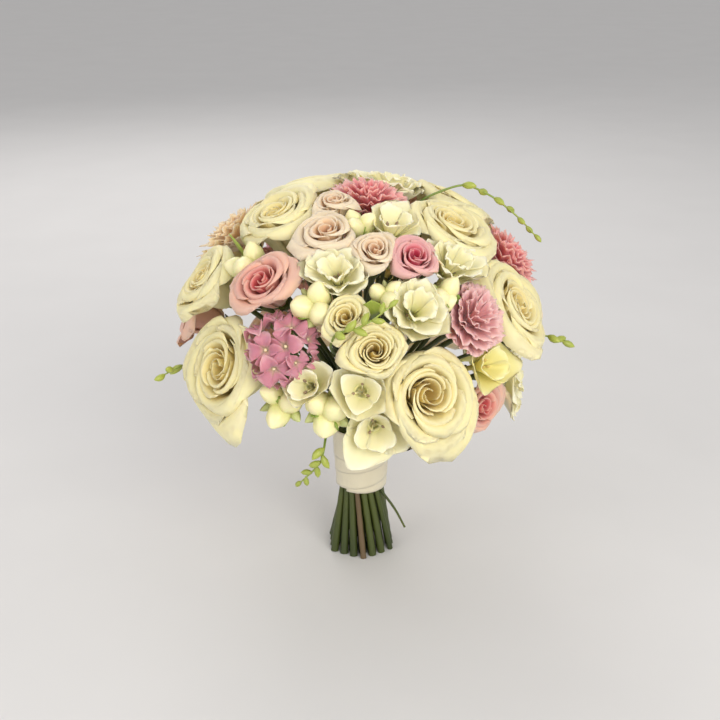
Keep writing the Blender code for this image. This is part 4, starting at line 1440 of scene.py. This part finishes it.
@dataclass
class Leaf(Maker):
    """A pointed leaf, folded a little along its rib."""

    thick: float = 0.0004

    def gather(self, skin: Skin) -> Spots:
        """Adds the blade.

        Args:
            skin: Takes them, in the bloom's own frame.

        Returns:
            An empty list, as it has no small part.
        """
        b = self.bloom
        s, t = grid_of(14, 9)
        shape = np.interp(t, (0, 0.12, 0.35, 0.6, 0.8, 1.0), (0.14, 0.16, 0.62, 0.98, 0.80, 0.04))
        x = s * shape * 0.9 * b.radius
        y = (0.10 * t - 0.25 * np.sin(math.pi * t) * (1 - np.abs(s)) + 0.05 * np.sin(9 * t) * s) * b.radius
        z = CLEAR + t * 1.06 * b.height
        skin.sheet(np.stack((x, y, z), axis=-1), s, t, 0.5, 0.0, self.thick)
        return []


MAKERS = {
    Kind.ROSE: Rose,
    Kind.BACK_ROSE: lambda b: Rose(b, 17),
    Kind.SMALL_ROSE: lambda b: Rose(b, 13, rows=10, thick=0.0003),
    Kind.FREESIA: Freesia,
    Kind.DOUBLE_FREESIA: lambda b: Freesia(b, DOUBLE, ruffle=0.05),
    Kind.CARNATION: Carnation,
    Kind.HYDRANGEA: Hydrangea,
    Kind.BUDS: BudCluster,
    Kind.SPRIG: Sprig,
    Kind.LEAF: Leaf,
}


# ---------------------------------------------------------------- handle

FREESIAS = (Kind.FREESIA, Kind.DOUBLE_FREESIA)
CUPPED = (Kind.ROSE, Kind.BACK_ROSE, Kind.SMALL_ROSE, Kind.CARNATION)

# A thin stem that leaves the bunch under the ribbon
STRAY = np.array(((0.009, -0.006, 0.064), (0.0148, -0.007, 0.050), (0.026, -0.011, 0.037),
                  (0.034, -0.014, 0.021)))


@dataclass
class Handle:
    """The tied stems: where each passes the tie and how it runs up to its bloom and down to its cut end."""

    shift: Array
    tie_radius: float = 0.0113
    spread: float = 11.0
    twist: float = 16.0
    crowding: float = 0.15
    rose_stem: float = 0.0024
    thin_stem: float = 0.0018
    foot_flare: float = 1.3
    rose_upper: tuple[float, float] = (0.0019, 0.0046)
    thin_upper: tuple[float, float] = (0.0013, 0.0028)
    plug: tuple[float, float] = (0.0178, 0.0210)
    one_stem: float = 0.12

    def point(self, w: complex, z: float) -> Array:
        """Where a stem that passes the tie at w is at height z.

        Args:
            w: Its place in the tie.
            z: The height.

        Returns:
            The point.
        """
        d = TIE_Z - z
        p = w * complex(1 + self.spread * abs(d), self.twist * d)
        return np.array((p.real, p.imag, z))

    def spots(self, wanted: list[complex]) -> list[complex]:
        """Shares out the places in the tie.

        Args:
            wanted: Where each stem would like to be.

        Returns:
            Where each one is.
        """
        free = [0j]
        for ring in range(1, 4):
            for k in range(6 * ring):
                corner, along = divmod(k, ring)
                a, b = (cmath.rect(1.0, t * math.pi / 3) for t in (corner, corner + 1))
                free.append(self.tie_radius * (a * (ring - along) + b * along) / 3)
        chosen = {}
        for k in sorted(range(len(wanted)), key=lambda k: -abs(wanted[k])):
            chosen[k] = min(free, key=lambda w: abs(w - wanted[k]))
            free.remove(chosen[k])
        return [chosen[k] for k in range(len(wanted))]

    def share(self, blooms: list[Bloom]) -> list[list[Bloom]]:
        """Groups the blooms that grow on one cut stem.

        Args:
            blooms: All the blooms.

        Returns:
            The blooms on each stem.
        """
        groups: list[list[Bloom]] = []
        for b in blooms:
            near = []
            if b.kind in FREESIAS or (b.tone is Tone.BLUSH and b.kind is Kind.SMALL_ROSE):
                near = [g for g in groups if len(g) < 3 and g[0].tone is b.tone
                        and (g[0].kind in FREESIAS) == (b.kind in FREESIAS)
                        and g[0].kind is not Kind.CARNATION
                        and np.linalg.norm(g[0].foot - b.foot) < self.one_stem]
            elif b.kind in (Kind.BUDS, Kind.SPRIG, Kind.LEAF):
                near = [g for g in groups if g[0].kind in FREESIAS]
            if near:
                min(near, key=lambda g: np.linalg.norm(g[0].foot - b.foot) + 0.02 * len(g)).append(b)
            else:
                groups.append([b])
        return groups

    def upper(self, w: complex, bloom: Bloom, radius: float, calyx: float) -> tuple[Array, Array]:
        """A stem from the tie that swings out to a bloom's foot.

        Args:
            w: Its place in the tie.
            bloom: The bloom.
            radius: Its radius.
            calyx: Radius of the green cup under the bloom.

        Returns:
            The path and the radius at each of its points.
        """
        start = self.point(w, RIBBON_HIGH + 0.007)
        lean = w * complex(self.spread, -self.twist)
        out = unit((lean.real, lean.imag, 1.0))
        end = bloom.foot - bloom.axis * 0.008
        p, q, r, s = start, start + out * 0.026, end - bloom.axis * 0.030, end
        t = np.linspace(0, 1, 13)[:, None]
        curve = p * (1 - t) ** 3 + 3 * q * t * (1 - t) ** 2 + 3 * r * t * t * (1 - t) + s * t ** 3
        head = [bloom.foot - bloom.axis * d for d in (0.006, 0.004, 0.002, 0.0003)]
        path = np.vstack((self.point(w, RIBBON_HIGH - 0.012)[None, :], curve, head))
        return path, np.concatenate((np.full(14, radius), (radius * 1.3, calyx * 0.75, calyx * 0.95, calyx)))

    def stems(self, blooms: list[Bloom], repeats: Repeats) -> bpy.types.Object:
        """Builds all the stems as one piece.

        Args:
            blooms: The blooms they carry.
            repeats: The node trees.

        Returns:
            The object.
        """
        groups = self.share(blooms)
        spots = self.spots([complex(g[0].foot[0], g[0].foot[1]) * self.crowding for g in groups])
        feet = [self.point(spot, 0.02) for spot in spots]
        woody = min(range(len(spots)), key=lambda k: feet[k][1] + abs(feet[k][0]))
        heights = np.linspace(0.0, TIE_Z, 12)
        flare = np.interp(heights, (0, TIE_Z), (self.foot_flare, 0.92))
        tubes = []
        for n, (spot, group) in enumerate(zip(spots, groups)):
            radius = self.thin_stem if group[0].kind in FREESIAS else self.rose_stem
            bent = np.array([self.point(spot, z) for z in heights])
            tubes.append((bent, radius * (1 + 0.05 * np.sin(heights * 420 + n)) * flare, float(n == woody)))
            for k, bloom in enumerate(group):
                fork = spot * 0.9 + 0.0013 * (k > 0) * cmath.rect(1.0, 2.2 * k)
                size = self.rose_upper if bloom.kind in CUPPED else self.thin_upper
                tubes.append((*self.upper(fork, bloom, *size), 0.0))
        _, stray = softened(STRAY, 4, 4)
        tubes.append((stray, np.linspace(0.0013, 0.0008, len(stray)), 0.0))
        plug = np.array(((0, 0, RIBBON_LOW + 0.001), (0, 0, RIBBON_HIGH - 0.001)))
        tubes.append((plug, np.array(self.plug), 0.0))
        tubes = [(path + self.shift, thick, organ) for path, thick, organ in tubes]
        made = repeats.tubes("stems_fine", tubes, 9, STEM_SKIN.material())
        for vertex in made.data.vertices:
            vertex.co.z = max(vertex.co.z, 0.0)
        return self.sepals(made, blooms, repeats)

    def sepals(self, made: bpy.types.Object, blooms: list[Bloom], repeats: Repeats) -> bpy.types.Object:
        """Sets five green sepals under every rose and carnation.

        Args:
            made: The stems, which take them.
            blooms: All the blooms.
            repeats: The node trees.

        Returns:
            The same object.
        """
        skin = Skin()
        s, t = grid_of(6, 5)
        wide = np.interp(t, (0, 0.35, 1.0), (0.55, 1.0, 0.06))
        grid = np.stack((0.0018 * s * wide, 0.0008 * s * s + 0.0012 * t * t, 0.0085 * t), axis=-1)
        skin.sheet(grid, s, t * 0.6, 0.5, 0.0, 0.0004)
        part = skin.object("sepal")
        spots = []
        for b in blooms:
            for a in (b.turn + 2 * math.pi * k / 5 for k in range(5) if b.kind in CUPPED):
                root = b.foot + b.frame @ around(a, 0.0040, -0.0010) + self.shift
                spots.append((root, b.frame @ unit(around(a, 0.62, 1.0)), 1.0))
        return repeats.place(made, part, spots, made.data.materials[0])


@dataclass
class Ribbon:
    """Satin ribbon wound round the handle in laps, the last end cut on the slant."""

    shift: Array
    radius_low: float = 0.0190
    radius_high: float = 0.0222
    wall: float = 0.0008
    width: float = 0.0235
    turns: float = 3.4
    first_angle: float = -2.2
    slant: float = 0.020
    sway: float = 0.0022
    lap: float = 0.0010
    thick: float = 0.00028
    columns: int = 210
    rows: int = 11

    def build(self) -> bpy.types.Object:
        """Returns:
            Its object.
        """
        u, v = np.meshgrid(np.linspace(0, 1, self.columns), np.linspace(0, 1, self.rows))
        slant = self.slant * smooth(u, 0.9, 1.0) * (v - 0.5)
        theta = self.first_angle + 2 * math.pi * self.turns * u + slant / self.radius_low
        climb = smooth(u, 0.10, 0.92)
        z = RIBBON_LOW + (RIBBON_HIGH - RIBBON_LOW - self.width) * climb + self.width * v
        z = z + self.sway * np.cos(theta - 0.6) * np.sin(math.pi * u)
        core = np.interp(z, (RIBBON_LOW, RIBBON_HIGH), (self.radius_low, self.radius_high)) - self.wall
        crease = 0.00018 * np.sin(7 * theta + 9 * v) * np.sin(math.pi * v)
        crease = crease + 0.00012 * np.sin(17 * theta - 5 * v)
        r = core + 0.0002 + self.lap * (1 - v) ** 1.3 + 0.0003 * u + crease
        grid = np.stack((r * np.cos(theta), r * np.sin(theta), z), axis=-1) + self.shift
        skin = Skin()
        skin.sheet(grid, u * 25, v, 0.5, 0.0, self.thick)
        made = skin.object("ribbon_laps")
        made.data.materials.append(SATIN.material())
        length = float(np.linalg.norm(np.diff(grid[self.rows // 2], axis=0), axis=1).sum())
        return made


# ---------------------------------------------------------------- studio


@dataclass
class Studio:
    """Pale floor, soft light and the camera at the photo's angle."""

    shift: Array
    distance: float = 0.836
    elevation: float = 20.0
    focal_px: float = 1134.8
    below_px: float = 48.0
    left_px: float = 1.5
    frame_px: float = 720.0
    sensor_mm: float = 36.0
    room_light: float = 0.61

    def floor(self) -> None:
        """A wide pale floor."""
        corners = [(-30, -30, 0), (30, -30, 0), (30, 30, 0), (-30, 30, 0)]
        made = mesh_object("floor", corners, [], [(0, 1, 2, 3)])
        g = Paint("pale_floor")
        speck = g.mixed((0.64, 0.64, 0.65), (0.68, 0.68, 0.69), g.noise(g.place, 9.0, 3.0))
        made.data.materials.append(g.done({"Base Color": speck, "Roughness": 0.85}))

    @staticmethod
    def light(name: str, place: Colour, aim: Colour, size: float, power: float, colour: Colour) -> None:
        """A soft square light.

        Args:
            name: Its name.
            place: Where it is.
            aim: What it shines on.
            size: Side of the square.
            power: Watts.
            colour: Its colour.
        """
        data = bpy.data.lights.new(name, "AREA")
        data.size = size
        data.energy = power
        data.color = colour
        made = placed(name, data)
        made.location = place
        made.rotation_euler = (Vector(aim) - Vector(place)).to_track_quat("-Z", "Y").to_euler()

    def build(self) -> None:
        """Builds the floor, the lights and the camera."""
        self.floor()
        head = Vector([float(x) for x in self.shift]) + Vector((0, 0, HEAD_Z))
        self.light("key", (0.65, -1.35, 0.90), head, 1.0, 18.5, (1.0, 0.96, 0.89))
        self.light("fill", (-1.3, -0.9, 0.8), head, 1.2, 7.0, (1.0, 0.98, 0.96))
        self.light("back", (-0.4, 1.3, 1.2), head, 1.0, 9.0, (1.0, 0.96, 0.92))
        world = bpy.data.worlds.new("soft_room")
        world.use_nodes = True
        inputs = world.node_tree.nodes["Background"].inputs
        inputs["Color"].default_value = (1.0, 0.98, 0.96, 1.0)
        inputs["Strength"].default_value = self.room_light
        bpy.context.scene.world = world
        bpy.context.scene.view_settings.view_transform = "Standard"
        data = bpy.data.cameras.new("photo_view")
        data.sensor_width = self.sensor_mm
        data.lens = self.focal_px / self.frame_px * self.sensor_mm
        made = placed("photo_view", data)
        rise = math.radians(self.elevation)
        ahead = Vector((0, math.cos(rise), -math.sin(rise)))
        made.location = head - ahead * self.distance
        down = rise + math.atan(self.below_px / self.focal_px)
        made.rotation_euler = (math.pi / 2 - down, 0.0, math.atan(self.left_px / self.focal_px))
        bpy.context.scene.camera = made


def main() -> None:
    """Builds the bouquet round the frame and reports each piece."""
    logging.basicConfig(level=logging.INFO, format="%(name)s: %(message)s")
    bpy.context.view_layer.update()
    low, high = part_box("ribbon")
    shift = np.array(((low.x + high.x) / 2, (low.y + high.y) / 2, 0.0))
    blooms = [Bloom(name, Kind(kind), azimuth, polar, wide, deep, Tone(tone), shift)
              for name, kind, azimuth, polar, wide, deep, tone in BLOOMS]
    for bloom in blooms:
        bloom.find_room(blooms)
    repeats = Repeats()
    paints = {tone: finish.material() for tone, finish in FINISHES.items()}
    made = [MAKERS[bloom.kind](bloom).build(repeats, paints) for bloom in blooms]
    made.append(Handle(shift).stems(blooms, repeats))
    made.append(Ribbon(shift).build())
    for piece, node in zip(made, [b.name for b in blooms] + ["stems", "ribbon"]):
        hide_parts(node)
        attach(piece, "root")
        log.info("%s: %d faces", piece.name, len(piece.data.polygons))
    Studio(shift).build()


if __name__ == "__main__":
    main()
